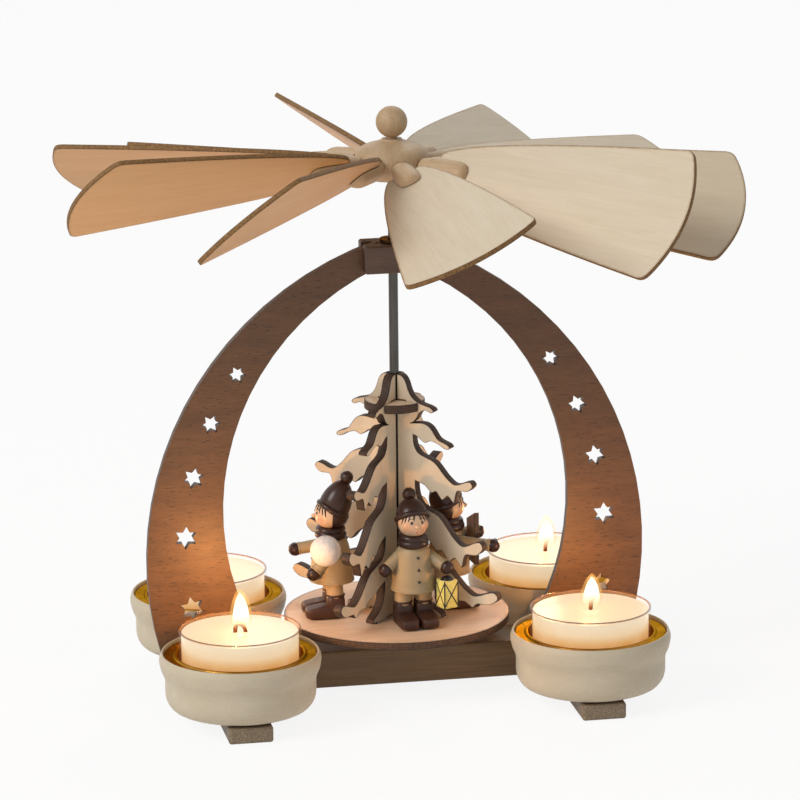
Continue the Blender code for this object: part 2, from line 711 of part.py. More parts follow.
def build_shaft(rotor):
    tip = BEARING_BASE + BEARING_FLOOR + GAP
    top = HUB_BASE + SHAFT_IN_HUB
    profile = ((0, top), (SHAFT_RADIUS, top), (SHAFT_RADIUS, tip + SHAFT_POINT), (0, tip))
    place("shaft", turned(profile), STEEL, parent=rotor)


def blade_outline():
    """Blade from its root in the peg to the bulged tip, the same on both sides of the peg."""
    root = BLADE_ROOT_WIDTH / 2
    tip = BLADE_TIP_WIDTH / 2
    side = []
    for k in range(BLADE_SIDE_STEPS + 1):
        share = (k / BLADE_SIDE_STEPS) ** 1.5
        half = root + (tip - root) * share**BLADE_SIDE_CURVE
        side.append((BLADE_ROOT + share * (BLADE_CORNER - BLADE_ROOT), half))
    for share in (0.96, 0.84, 0.6, 0.3):
        side.append((BLADE_CORNER + (1 - share**2) * BLADE_TIP_BULGE, share * tip))
    return [(x, -y) for x, y in side] + [(x, y) for x, y in reversed(side)]


def build_wheel(rotor):
    """Hub and finial on the shaft, and the split pegs that carry the blades."""
    wheel = empty("wheel_centre", (0, 0, WHEEL_HEIGHT), rotor)
    shaft_bore_top = SHAFT_IN_HUB - HUB_BELOW + GAP
    stem_floor = HUB_ABOVE - STEM_LENGTH - GAP
    hub_profile = (
        (0, stem_floor),
        (STEM_RADIUS + GAP, stem_floor),
        (STEM_RADIUS + GAP, HUB_ABOVE),
        (NECK_RADIUS, HUB_ABOVE),
        (1.25 * NECK_RADIUS, 0.88 * HUB_ABOVE),
        (0.72 * HUB_RADIUS, 0.72 * HUB_ABOVE),
        (0.94 * HUB_RADIUS, 0.48 * HUB_ABOVE),
        (HUB_RADIUS, 0.2 * HUB_ABOVE),
        (HUB_RADIUS, -0.3 * HUB_BELOW),
        (0.93 * HUB_RADIUS, -0.75 * HUB_BELOW),
        (0.76 * HUB_RADIUS, -HUB_BELOW),
        (SHAFT_BORE, -HUB_BELOW),
        (SHAFT_BORE, shaft_bore_top),
        (0, shaft_bore_top),
    )
    hub = place("blade_hub", turned(hub_profile), TURNED_WOOD, parent=wheel)
    cutter = bmesh.new()
    for azimuth, (swing, rise, pitch) in zip(BLADE_AZIMUTHS, BLADE_SETTINGS):
        along = Euler((0, math.radians(-rise), math.radians(azimuth))).to_matrix() @ Vector((1, 0, 0))
        bore = PEG_SHANK_RADIUS + GAP
        add_rod(cutter, (PEG_START - GAP) * along, 2 * HUB_RADIUS * along, bore, bore)
    boolean(hub, "DIFFERENCE", "peg_bores", cutter, parent=wheel)

    ball_centre = HUB_ABOVE + GAP + BALL_RADIUS
    finial_body = ball(BALL_RADIUS, (0, 0, ball_centre), ROUND_SIDES)
    finial = place("finial_ball", finial_body, TURNED_WOOD, parent=wheel)
    stem_base = Vector((0, 0, HUB_ABOVE - STEM_LENGTH))
    stem = rod(stem_base, Vector((0, 0, ball_centre)), STEM_RADIUS, STEM_RADIUS)
    boolean(finial, "UNION", "finial_stem", stem, parent=wheel)

    shoulder = PEG_SHOULDER * PEG_CROWDING - GAP
    peg_profile = (
        (0, PEG_END),
        (0.45 * PEG_RADIUS, PEG_END - 0.1 * PEG_RADIUS),
        (0.8 * PEG_RADIUS, PEG_END - 0.35 * PEG_RADIUS),
        (PEG_RADIUS, PEG_END - PEG_RADIUS),
        (PEG_RADIUS, PEG_SWELL),
        (shoulder, PEG_SHOULDER),
        (PEG_SHANK_RADIUS, PEG_SHOULDER),
        (PEG_SHANK_RADIUS, PEG_START),
        (0, PEG_START),
    )
    slot_start = BLADE_ROOT - GAP
    slot_size = (2 * (PEG_END - slot_start), 4 * PEG_RADIUS, BLADE_THICKNESS + 2 * GAP)
    for number, (azimuth, (swing, rise, pitch)) in enumerate(zip(BLADE_AZIMUTHS, BLADE_SETTINGS), 1):
        label = f"{number:02d}"
        setting = (pitch, -rise, azimuth)
        peg_body = turned(peg_profile, SMALL_SIDES)
        peg_body.transform(Matrix.Rotation(math.radians(90), 4, "Y"))
        peg = place(f"blade_peg_{label}", peg_body, TURNED_WOOD, degrees=setting, parent=wheel)
        slot = box(slot_size, (slot_start + slot_size[0] / 2, 0, 0))
        boolean(peg, "DIFFERENCE", f"peg_slot_{label}", slot, parent=peg)
        place(f"blade_{label}", plate(blade_outline(), BLADE_THICKNESS), PLY, degrees=setting, parent=wheel)


def build_child(name, azimuth, stand, facing, hat_height, hands, rotor):
    """A doll child. X is forward, Y left and Z up from between its boots. The left hand comes first."""
    location = Euler((0, 0, math.radians(azimuth))).to_matrix() @ Vector((stand, 0, 0))
    location.z = TURNTABLE_TOP + GAP
    coat = (
        (0, SHOULDER_HEIGHT),
        (0.75 * SHOULDER_RADIUS, SHOULDER_HEIGHT),
        (1.2 * SHOULDER_RADIUS, SHOULDER_HEIGHT - 0.4 * SHOULDER_RADIUS),
        (0.88 * COAT_RADIUS, 0.5 * (LEG_LENGTH + SHOULDER_HEIGHT)),
        (COAT_RADIUS, LEG_LENGTH),
        (0, LEG_LENGTH),
    )
    child = place(name, turned(coat, SMALL_SIDES), DOLL_PAINT, location, (0, 0, facing), rotor)
    hat = (
        (0, hat_height),
        (0.5 * HEAD_RADIUS, 0.94 * hat_height),
        (0.9 * HEAD_RADIUS, 0.7 * hat_height),
        (1.12 * HEAD_RADIUS, 0.35 * hat_height),
        (1.14 * HEAD_RADIUS, 0),
        (0, 0),
    )
    scarf_top = HEAD_HEIGHT - 0.75 * HEAD_RADIUS
    scarf_base = SHOULDER_HEIGHT - 0.3 * SHOULDER_RADIUS
    scarf = (
        (0, scarf_top),
        (SHOULDER_RADIUS, scarf_top),
        (1.15 * SHOULDER_RADIUS, (scarf_top + scarf_base) / 2),
        (SHOULDER_RADIUS, scarf_base),
        (0, scarf_base),
    )
    tilt = Matrix.Translation((0, 0, HEAD_HEIGHT)) @ Matrix.Rotation(math.radians(-HAT_TILT), 4, "Y")
    tilted_hat = turned(hat, SMALL_SIDES)
    tilted_hat.transform(tilt)
    turned_scarf = turned(scarf, SMALL_SIDES)
    turned_scarf.transform(Matrix.Rotation(math.pi / SMALL_SIDES, 4, "Z"))
    pieces = {
        "head": ball(HEAD_RADIUS, (0, 0, HEAD_HEIGHT)),
        "hat": tilted_hat,
        "scarf": turned_scarf,
        "bobble": ball(BOBBLE_RADIUS, tilt @ Vector((0, 0, hat_height + 0.6 * BOBBLE_RADIUS)), LIMB_SIDES),
    }
    for hand, place_of_hand, sign in zip(("left", "right"), hands, (1, -1)):
        shoulder = shoulder_at(sign)
        pieces[f"{hand}_arm"] = rod(shoulder, place_of_hand, ARM_RADIUS, 0.9 * ARM_RADIUS, LIMB_SIDES)
        pieces[f"{hand}_glove"] = ball(GLOVE_RADIUS, place_of_hand, LIMB_SIDES)
        across = sign * 0.53 * BOOT_WIDTH
        boot_middle = (BOOT_FORWARD, across, BOOT_HEIGHT / 2)
        boot_size = (BOOT_LENGTH, BOOT_WIDTH, BOOT_HEIGHT)
        pieces[f"{hand}_boot"] = rounded_box(boot_size, boot_middle, 0.3 * BOOT_HEIGHT)
        ankle = Vector((0, across, 0.6 * BOOT_HEIGHT))
        knee = Vector((0, 0.9 * across, LEG_LENGTH + 0.5 * LEG_RADIUS))
        pieces[f"{hand}_leg"] = rod(ankle, knee, LEG_RADIUS, LEG_RADIUS, LIMB_SIDES)
    for piece, bm in pieces.items():
        boolean(child, "UNION", f"{name}_{piece}", bm, parent=child)
    return child


def follow(child, name, bm, material):
    """Place what a child carries, made in the child's own directions."""
    degrees = [math.degrees(turn) for turn in child.rotation_euler]
    return place(name, bm, material, child.location, degrees, child.parent)


def shoulder_at(sign):
    """Place where an arm leaves the coat, on the left side for a positive sign."""
    return SHOULDER_RADIUS * Vector((-0.1, sign * 0.85, -1)) + Vector((0, 0, SHOULDER_HEIGHT))


def hand_at(forward, left, drop):
    """Place of a hand, counted from the shoulders of its child."""
    return Vector((forward, left, SHOULDER_HEIGHT - drop))


def build_lantern_child(rotor):
    clear_of_coat = COAT_RADIUS + LANTERN_TO_COAT + LANTERN_WIDTH / math.sqrt(2)
    side = math.sqrt(clear_of_coat**2 - LANTERN_HAND_FORWARD**2)
    hand = hand_at(LANTERN_HAND_FORWARD, side, LANTERN_HAND_DROP)
    other = hand_at(EMPTY_HAND_FORWARD, -EMPTY_HAND_SIDE, EMPTY_HAND_DROP)
    hands = (hand, other)
    child = build_child(
        "lantern_child",
        LANTERN_CHILD_AZIMUTH,
        LANTERN_CHILD_STAND,
        LANTERN_CHILD_FACING,
        LANTERN_CHILD_HAT,
        hands,
        rotor,
    )
    top = hand.z - GLOVE_RADIUS - GAP
    base = top - LANTERN_CAP - LANTERN_HEIGHT
    lantern = box((LANTERN_WIDTH, LANTERN_WIDTH, LANTERN_HEIGHT), (0, 0, base + LANTERN_HEIGHT / 2))
    turn = Matrix.Rotation(math.radians(LANTERN_TURN), 4, "Z")
    lantern.transform(Matrix.Translation((hand.x, hand.y, 0)) @ turn)
    lantern_object = follow(child, "lantern", lantern, LANTERN_PAINT)
    cap_base = Vector((hand.x, hand.y, top - 2 * LANTERN_CAP))
    cap = rod(cap_base, Vector((hand.x, hand.y, top)), 0.4 * LANTERN_WIDTH, 0.15 * LANTERN_WIDTH, LIMB_SIDES)
    boolean(lantern_object, "UNION", "lantern_cap", cap, parent=lantern_object)


def build_snowball_child(rotor):
    near = hand_at(NEAR_HAND_FORWARD, NEAR_HAND_SIDE, NEAR_HAND_DROP)
    far = hand_at(FAR_HAND_FORWARD, -FAR_HAND_SIDE, FAR_HAND_DROP)
    hands = (near, far)
    child = build_child(
        "snowball_child",
        SNOWBALL_CHILD_AZIMUTH,
        SNOWBALL_CHILD_STAND,
        SNOWBALL_CHILD_FACING,
        SNOWBALL_CHILD_HAT,
        hands,
        rotor,
    )
    beside = 1.2 * SHOULDER_RADIUS + SNOWBALL_RADIUS + GAP
    across = math.sqrt(beside**2 - SNOWBALL_FORWARD**2)
    middle = (SNOWBALL_FORWARD, across, SHOULDER_HEIGHT - 0.5 * SHOULDER_RADIUS)
    follow(child, "snowball", ball(SNOWBALL_RADIUS, middle), SNOW_PAINT)


def build_sled_child(rotor):
    """The sled stands upright before the coat, held between the sleeves."""
    back = COAT_RADIUS + GAP
    shoulder = shoulder_at(1)
    sleeve = SLED_WIDTH / 2 + 2 * GAP + ARM_RADIUS
    reach = (SLED_HANDS_FORWARD - shoulder.x) / (back + SLED_SEAT - shoulder.x)
    spread = shoulder.y + reach * (sleeve - shoulder.y)
    hands = [hand_at(SLED_HANDS_FORWARD, sign * spread, SLED_HANDS_DROP) for sign in (1, -1)]
    child = build_child(
        "sled_child",
        SLED_CHILD_AZIMUTH,
        SLED_CHILD_STAND,
        SLED_CHILD_FACING,
        SLED_CHILD_HAT,
        hands,
        rotor,
    )
    low = hands[0].z - SLED_BELOW_HANDS
    seat = back + SLED_SEAT
    front = seat + SLED_RUNNER_DEPTH
    outer = SLED_WIDTH / 2
    inner = outer - SLED_RUNNER_WIDTH
    half = [(seat, inner), (front, inner), (front, outer), (back, outer)]
    sled = plate([(x, -y) for x, y in half[::-1]] + half, SLED_LENGTH)
    for vert in sled.verts:
        slanted = SLED_LENGTH - SLED_SLANT * (vert.co.y / SLED_WIDTH + 0.5)
        vert.co.z = low + (slanted if vert.co.z > 0 else 0)
    follow(child, "sled", sled, BASE_WOOD)


build_base()
build_arch()
build_candles()
rotor_axis = empty("rotor_axis", (0, 0, 0))
build_shaft(rotor_axis)
build_tree(rotor_axis)
build_lantern_child(rotor_axis)
build_snowball_child(rotor_axis)
build_sled_child(rotor_axis)
build_wheel(rotor_axis)
bpy.context.view_layer.update()
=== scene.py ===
"""Looks of the christmas pyramid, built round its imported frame.

Pieces are made in millimetres and scaled to the frame's metres when they are placed. Z is up, X runs along
the arch and Y to the back.
"""

import math

import bmesh
import bpy
from mathutils import Euler, Matrix, Vector, noise


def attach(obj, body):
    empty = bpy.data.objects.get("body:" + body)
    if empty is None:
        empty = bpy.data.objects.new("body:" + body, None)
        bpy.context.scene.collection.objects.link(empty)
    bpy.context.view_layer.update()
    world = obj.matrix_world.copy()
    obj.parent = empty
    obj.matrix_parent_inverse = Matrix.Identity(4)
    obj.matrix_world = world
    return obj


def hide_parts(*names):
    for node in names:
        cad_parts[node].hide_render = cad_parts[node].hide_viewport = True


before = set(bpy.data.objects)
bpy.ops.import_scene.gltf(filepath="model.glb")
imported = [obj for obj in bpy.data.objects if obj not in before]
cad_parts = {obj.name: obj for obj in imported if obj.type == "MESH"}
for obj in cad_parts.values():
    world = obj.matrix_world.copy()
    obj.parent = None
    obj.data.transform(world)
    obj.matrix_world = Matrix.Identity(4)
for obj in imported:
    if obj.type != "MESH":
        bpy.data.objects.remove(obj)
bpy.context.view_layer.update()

MM = 0.001
UP = Vector((0, 0, 1))
ROUND = 72
SHARP_ANGLE = 38.0

# Camera: the photograph's view, fitted to stars, ball, top block, blades, feet, tealights and turntable.
VIEW_AZIMUTH = -10.318
VIEW_ELEVATION = 14.293
VIEW_ROLL = -0.606
VIEW_DISTANCE = 1608.7
VIEW_TARGET = Vector((0, 0, 94.7))
VIEW_LENS = 227.285
VIEW_SHIFT = (0.007, -0.00458)

# Stage: half the floor's width in metres, its share of plain white, and the strength of the world's light.
# Each soft lamp has its place and width in metres, its power in watts and its colour.
FLOOR_HALF = 15
FLOOR_WHITE = 0.88
WORLD_STRENGTH = 0.36
LAMP_AIM = Vector((0, 0, 0.09))
LAMPS = {
    "key": ((-1.5, -0.75, 1.35), 0.9, 24.0, (1.0, 0.98, 0.95)),
    "fill": ((1.5, -0.9, 0.8), 0.9, 0.2, (1.0, 0.98, 0.96)),
    "back": ((0.5, 1.5, 1.4), 1.0, 6.0, (1.0, 0.99, 0.97)),
}

# Cups, liners and tealights, as in the CAD model.
CUP_X = 56.242
CUP_Y = 34.25
CORNERS = {
    "front_left": (-CUP_X, -CUP_Y),
    "front_right": (CUP_X, -CUP_Y),
    "back_left": (-CUP_X, CUP_Y),
    "back_right": (CUP_X, CUP_Y),
}
CUP_BASE = 5.6
CUP_TOP = 24.1
CUP_RADIUS = 25.45
CUP_WAIST = 23.75
CUP_FOOT = 19.25
CUP_BORE = 20.85
LINER_BORE = 19.85
LINER_RADIUS = 20.55
LINER_BASE = 14.3
LINER_WALL = 0.7
FLANGE_RADIUS = 23.95
FLANGE_TOP = 23.1
TEALIGHT_BASE = 15.3
TEALIGHT_TOP = 31.5
TEALIGHT_RADIUS = 19.25
SHELL_WALL = 0.7
WAX_RADIUS = 18.4
WAX_TOP = 30.4
WAX_DISH = 29.9
WICK_RADIUS = 0.65

# Flames: heights, widest radius and foot, the span of their colours, and the length and size of their bend.
FLAME_HEIGHTS = {"front_left": 13.0, "front_right": 11.0, "back_left": 11.0, "back_right": 11.5}
FLAME_RADIUS = 2.6
FLAME_FOOT = 30.2
FLAME_COLOUR_SPAN = 13.0
FLAME_WAVE = 14.0
FLAME_SWAY = 0.4

# Lamp in each flame: rise above the flame's foot, watts over the flame's height squared, radius and colour.
GLOW_RISE = 10.0
GLOW_POWER = 0.0004
GLOW_RADIUS = 2.0
GLOW_COLOUR = (1.0, 0.45, 0.13)

# Turntable, tree and shaft.
SHAFT_BORE = 1.8
DISC_RADIUS = 36.2
DISC_TOP = 23.6
DISC_BASE = 21.2
TREE_BASE = 23.9
FIN_AZIMUTHS = {"front_left": -130.0, "front_right": -40.0, "back_right": 50.0, "back_left": 140.0}
FIN_THICKNESS = 3.0
FIN_INNER = 1.8
TREE_HEIGHT = 78.6
TREE_REACH = 37.0
TREE_TOP_REACH = 2.6
FOOT_REACH = 17.5
TAB_START = 9.0
TAB_END = 15.5
LOCK_RADIUS = 9.7
LOCK_THICKNESS = 2.8
LOCK_RISE = 67.332
LOCK_SLOT_START = 4.6
GAP = 0.3
COLLAR_TOP = 20.9
COLLAR_BASE = 15.2
COLLAR_SIDE = ((7.6, COLLAR_TOP, 0.5), (8.0, 19.4, 0.6), (7.6, 17.6, 0.8), (5.6, COLLAR_BASE, 0.6))

# Tips and notches of the tiers from the crown down, in shares of the reach and height of the tree.
TIP_SHARES = ((0.405, 0.863), (0.562, 0.719), (0.765, 0.578), (0.859, 0.327), (1.0, 0.125))
NOTCH_SHARES = ((0.176, 0.803), (0.205, 0.757), (0.222, 0.565), (0.252, 0.344), (0.265, 0.156))

# Edges of the tiers in shares of the way from notch to tip. The crown and the second tier are whole.
# The other tiers have an upper edge with a lobe at its end, then a snowy lower edge, given as the share
# of the way back and the depth in shares of the reach. Each tier has its own share of that depth.
CROWN_EDGE = (
    (0.09, 0.04), (0.19, 0.19), (0.27, 0.45), (0.38, 0.65), (0.57, 0.79), (0.81, 0.86),
    (0.95, 0.92), (1.0, 1.0), (0.92, 1.06), (0.75, 1.0), (0.6, 1.08), (0.52, 1.24), (0.42, 1.38),
)
SECOND_EDGE = (
    (0.15, -0.05), (0.33, -0.07), (0.48, 0.06), (0.58, 0.3), (0.69, 0.62), (0.83, 0.76),
    (0.95, 0.86), (1.0, 1.0), (0.94, 1.09), (0.83, 1.04), (0.71, 0.89), (0.52, 0.77), (0.38, 0.89),
    (0.26, 0.77), (0.17, 0.62),
)
TIER_EDGE = (
    (0.01, 0.22), (0.1, 0.43), (0.36, 0.58), (0.54, 0.86), (0.71, 1.05), (0.87, 0.98), (0.98, 0.94),
    (1.03, 1.05), (0.93, 1.18), (0.76, 1.2),
)
SNOW_EDGE = ((0.08, 0.2), (0.22, 0.11), (0.36, 0.2), (0.5, 0.09), (0.62, 0.13), (0.78, 0.04))
TIER_EDGES = (CROWN_EDGE, SECOND_EDGE, TIER_EDGE, TIER_EDGE, TIER_EDGE)
SNOW_DEPTHS = (0, 0, 1.0, 1.0, 0.35)
TRUNK_EDGE = ((0.1, 0.4), (0.4, 0.7), (0.97, 0.9))

# Blade wheel: degrees of swing off each blade's even share, rise of its peg, and pitch.
WHEEL_HEIGHT = 171.075
FIRST_AZIMUTH = -87.5
BLADE_SETTINGS = (
    (0.0, -4.0, 25.0),
    (3.7, -2.5, 54.8),
    (-2.0, -7.0, 38.6),
    (-0.4, -8.6, 24.0),
    (-2.6, -8.1, 35.0),
    (-1.0, -5.4, 36.0),
    (-6.0, -6.6, 15.8),
    (-12.0, -4.8, 33.2),
    (-0.4, 0.0, 40.8),
    (-0.9, 0.9, 39.9),
)
BLADE_THICKNESS = 1.5
BLADE_ROOT = 17.5
BLADE_ROOT_HALF = 5.0
BLADE_CORNER = 105.5
BLADE_TIP_HALF = 22.0
BLADE_TIP_BULGE = 6.5
BLADE_SIDE_CURVE = 0.62
BLADE_ROUNDING = 2.6
BLADE_SIDE_STEPS = 24
BLADE_TIP_STEPS = 12
PEG_RADIUS = 4.0
PEG_SHANK_RADIUS = 1.8
PEG_END = 30.0
HUB_RADIUS = 11.8
HUB_BELOW = 5.0
HUB_ABOVE = 7.4
HUB_BORE_TOP = 1.3
NECK_RADIUS = 3.2
BALL_RADIUS = 5.0

# Azimuths of the blades, and the pegs, which taper where they crowd together at the hub.
BLADE_AZIMUTHS = [FIRST_AZIMUTH + 36 * k + setting[0] for k, setting in enumerate(BLADE_SETTINGS)]
NARROWEST = min(
    (after - before) % 360 for before, after in zip(BLADE_AZIMUTHS, BLADE_AZIMUTHS[1:] + BLADE_AZIMUTHS[:1])
)
PEG_CROWDING = math.sin(math.radians(NARROWEST) / 2)
PEG_SHOULDER = HUB_RADIUS + GAP
PEG_SHOULDER_RADIUS = PEG_SHOULDER * PEG_CROWDING - GAP
PEG_START = (PEG_SHANK_RADIUS + 2 * GAP) / PEG_CROWDING
PEG_SWELL = (PEG_RADIUS + GAP) / PEG_CROWDING

# Doll children: heights above their boot soles, and where each stands and faces on the turntable.
HEM = 11.2
SHOULDER = 26.1
HEAD = 33.3
HEAD_RADIUS = 4.9
HEAD_FORWARD = 0.4
LEG_RADIUS = 2.75
LEG_SPREAD = 3.35
CUFF_RADIUS = 0.4
HAT_TILT = 24.0
COAT_RADIUS = 7.2
CHILDREN = {
    "lantern_child": (-80.0, 15.5, -84.0),
    "snowball_child": (180.0, 21.0, 180.0),
    "sled_child": (5.0, 17.4, 5.0),
}
HATS = {"lantern_child": 7.8, "snowball_child": 11.6, "sled_child": 8.5}
HANDS = {
    "lantern_child": (Vector((6.5, 9.27, SHOULDER - 6.9)), Vector((1.5, -9.6, SHOULDER - 7.5))),
    "snowball_child": (Vector((7.0, 6.0, SHOULDER - 10.8)), Vector((11.0, -5.0, SHOULDER - 5.3))),
    "sled_child": (Vector((12.5, 8.73, SHOULDER - 4.9)), Vector((12.5, -8.73, SHOULDER - 4.9))),
}
LANTERN_WIDTH = 5.4
LANTERN_HEIGHT = 9.0
LANTERN_TURN = 16.0
SNOWBALL = Vector((3.6, 9.84, SHOULDER - 2.2))
SNOWBALL_RADIUS = 4.9
SLED_WIDTH = 9.0
SLED_LENGTH = 17.4
SLED_SLANT = 4.1
SLED_BACK = COAT_RADIUS + GAP
SLED_BASE = SHOULDER - 12.1
SLED_SEAT = 0.8
SLED_RUNNER_DEPTH = 0.8
SLED_RUNNER_WIDTH = 1.2


def linear(colour):
    """An sRGB hex string as linear red, green and blue."""
    channels = [int(colour[k : k + 2], 16) / 255 for k in (0, 2, 4)]
    return [c / 12.92 if c <= 0.04045 else ((c + 0.055) / 1.055) ** 2.4 for c in channels]


class Look:
    """One node material, with short calls for the nodes that it needs."""

    def __init__(self, name, roughness=0.5, **settings):
        self.material = bpy.data.materials.new(name)
        self.material.use_nodes = True
        self.tree = self.material.node_tree
        self.shader = self.tree.nodes["Principled BSDF"]
        self.fill(self.shader, Roughness=roughness, **settings)

    def feed(self, socket, value):
        if isinstance(value, bpy.types.NodeSocket):
            self.tree.links.new(value, socket)
        else:
            socket.default_value = value

    def fill(self, node, **inputs):
        """Values or sockets for a node's inputs. An underscore stands for a space in their names."""
        for name, value in inputs.items():
            self.feed(node.inputs[name.replace("_", " ")], value)

    def drive(self, **inputs):
        self.fill(self.shader, **inputs)

    def add(self, kind, options=None, **inputs):
        """A node. Options are its own settings, and inputs are values or sockets for its inputs."""
        node = self.tree.nodes.new("ShaderNode" + kind)
        for option, value in (options or {}).items():
            setattr(node, option, value)
        self.fill(node, **inputs)
        return node

    def place(self, width, stretch=1.0, along="X", shift=(0, 0, 0)):
        """Object coordinates in units of a width in millimetres, drawn out along one axis."""
        scale = Vector((1, 1, 1)) / (width * MM)
        scale["XYZ".index(along)] /= stretch
        coordinates = self.add("TexCoord").outputs["Object"]
        return self.add("Mapping", Vector=coordinates, Scale=scale, Location=shift).outputs[0]

    def cloud(self, vector, detail=3.0, roughness=0.55, distortion=0.0):
        node = self.add("TexNoise", Vector=vector, Scale=1.0, Detail=detail)
        self.fill(node, Roughness=roughness, Distortion=distortion)
        return node.outputs[0]

    def along(self, axis, kind="Object"):
        """One axis of the object's coordinates in metres, or of its normals from -1 to 1."""
        vector = self.add("TexCoord").outputs[kind]
        return self.add("SeparateXYZ", Vector=vector).outputs["XYZ".index(axis)]

    def calc(self, operation, first, second=0.0):
        node = self.add("Math", {"operation": operation})
        self.feed(node.inputs[0], first)
        self.feed(node.inputs[1], second)
        return node.outputs[0]

    def facing(self, axis):
        """How squarely a face looks along one axis of its object either way, from 0 to 1."""
        return self.calc("ABSOLUTE", self.along(axis, "Normal"))

    def span(self, value, low, high, to_low=0.0, to_high=1.0):
        """A value carried from one range to another and kept inside it."""
        node = self.add("MapRange", Value=value)
        self.fill(node, From_Min=low, From_Max=high, To_Min=to_low, To_Max=to_high)
        return node.outputs[0]

    def ramp(self, value, *stops):
        """Colours along a value, as (place, hex) pairs."""
        node = self.add("ValToRGB", Fac=value)
        elements = node.color_ramp.elements
        while len(elements) < len(stops):
            elements.new(0.5)
        for element, (where, colour) in zip(elements, stops):
            element.position = where
            element.color = (*linear(colour), 1)
        return node.outputs[0]

    def blend(self, share, first, second, kind="MIX"):
        """Two colours, as sockets or hex strings, mixed by a share."""
        node = self.add("Mix", {"data_type": "RGBA", "blend_type": kind})
        self.feed(node.inputs[0], share)
        for socket, colour in ((node.inputs[6], first), (node.inputs[7], second)):
            self.feed(socket, (*linear(colour), 1) if isinstance(colour, str) else colour)
        return node.outputs[2]

    def attribute(self, name):
        return self.add("Attribute", {"attribute_name": name}).outputs["Fac"]

    def relief(self, height, depth, strength=0.6):
        """Bump with a depth in millimetres, on top of any bump there is."""
        node = self.add("Bump", Height=height, Strength=strength, Distance=depth * MM)
        below = self.shader.inputs["Normal"].links
        if below:
            self.fill(node, Normal=below[0].from_socket)
        self.drive(Normal=node.outputs[0])

    def wear(self, value, low, high):
        """Roughness that follows a value."""
        self.drive(Roughness=self.span(value, 0.3, 0.7, low, high))

    def colour(self, value):
        self.drive(Base_Color=value)


def wood(
    name, pale, deep, along="X", figure=5.0, fibre=0.35, stretch=16.0,
    gloss=(0.42, 0.62), depth=0.05, thread=0.5,
):
    """Wood with broad figure and fine fibres along one axis. Returns the look and its colour."""
    look = Look(name)
    broad = look.cloud(look.place(figure, stretch * 0.6, along), 4.0, 0.6, 0.35)
    fine = look.cloud(look.place(fibre, stretch * 2.0, along, (3, 7, 1)), 3.0, 0.65)
    patch = look.cloud(look.place(figure * 6, 2.0, along, (9, 2, 5)), 2.0)
    base = look.ramp(broad, (0.3, deep), (0.7, pale))
    threads = look.ramp(fine, (0.34, "CFC2B4"), (0.52, "FFFFFF"))
    drawn = look.blend(thread, base, threads, "MULTIPLY")
    tint = look.ramp(patch, (0.35, "EFE7DC"), (0.6, "FFFFFF"))
    colour = look.blend(thread, drawn, tint, "MULTIPLY")
    look.colour(colour)
    look.relief(fine, depth)
    look.wear(fine, gloss[1], gloss[0])
    return look, colour


def stained_wood(name, pale, deep, edge, face_axis, along="X"):
    """Stained plywood, darker towards the top as painted shade, whose burnt cut edges show the layers of the
    ply.
    """
    look, colour = wood(name, pale, deep, along, 4.0, 0.3, 9.0, (0.4, 0.58), 0.04)
    pores = look.cloud(look.place(0.42, 5.0, along, (1, 4, 8)), 1.0, 0.4)
    flecks = look.span(pores, 0.63, 0.72, 0.0, 0.55)
    colour = look.blend(flecks, colour, edge)
    # Painted shade: the dark edge colour laid over the upper part, more of it towards the top.
    colour = look.blend(look.span(look.along("Z"), 0.04, 0.13, 0.0, 0.4), colour, edge)
    layers = look.cloud(look.place(0.8, 0.02, face_axis), 1.0)
    burnt = look.ramp(layers, (0.35, edge), (0.75, deep))
    face = look.span(look.facing(face_axis), 0.55, 0.8)
    look.colour(look.blend(face, burnt, colour))
    return look.material


def plain_wood(*settings, **more):
    return wood(*settings, **more)[0].material


def scorched_wood(name, pale, deep, scorch, along="X", underside_glow="FFFFFF", **more):
    """Laser-cut wood whose face browns towards the cut, by the scorch attribute of the mesh.

    Faces that look down are multiplied by the warm colour given after the axis, as painted candle light from
    below.
    """
    look, colour = wood(name, pale, deep, along, **more)
    # Painted candle light: faces turned down are tinted warm.
    colour = look.blend(look.span(look.along("Z", "Normal"), 0.3, -0.3), colour, underside_glow, "MULTIPLY")
    uneven = look.cloud(look.place(1.6), 2.0)
    near = look.calc("MULTIPLY", look.attribute("scorch"), look.span(uneven, 0.25, 0.75, 0.35, 0.95))
    look.colour(look.blend(near, colour, scorch))
    return look.material


def cut_edge(name, dark, middle, half, axis):
    """The burnt edge of a plate: charred towards both faces, browner ply layers between."""
    look = Look(name, 0.7)
    share = look.span(look.calc("ABSOLUTE", look.along(axis)), 0.0, half * MM)
    layers = look.ramp(share, (0.0, middle), (0.3, dark), (0.45, middle), (0.85, dark))
    soot = look.cloud(look.place(0.7), 4.0, 0.65)
    patches = look.ramp(soot, (0.35, dark), (0.68, "FFFFFF"))
    look.colour(look.blend(0.75, layers, patches, "MULTIPLY"))
    look.relief(soot, 0.08)
    return look.material


def end_grain_wood():
    """Cross bars: long grain on top and sides, speckled end grain at both ends."""
    look, colour = wood("bar_wood", "8A7861", "6C5B48", "Y", 3.0, 0.3, 14.0, (0.5, 0.7), 0.06)
    pores = look.cloud(look.place(0.55), 3.0, 0.7)
    rings = look.cloud(look.place(2.4, 0.4, "Z"), 2.0, 0.5, 0.6)
    ends = look.blend(0.35, look.ramp(pores, (0.36, "544636"), (0.62, "A59378")), "82715B")
    ends = look.blend(look.span(rings, 0.4, 0.7, 0.0, 0.3), ends, "6A5946")
    end = look.span(look.facing("Y"), 0.6, 0.85)
    look.colour(look.blend(end, colour, ends))
    look.relief(pores, 0.12, 0.5)
    return look.material


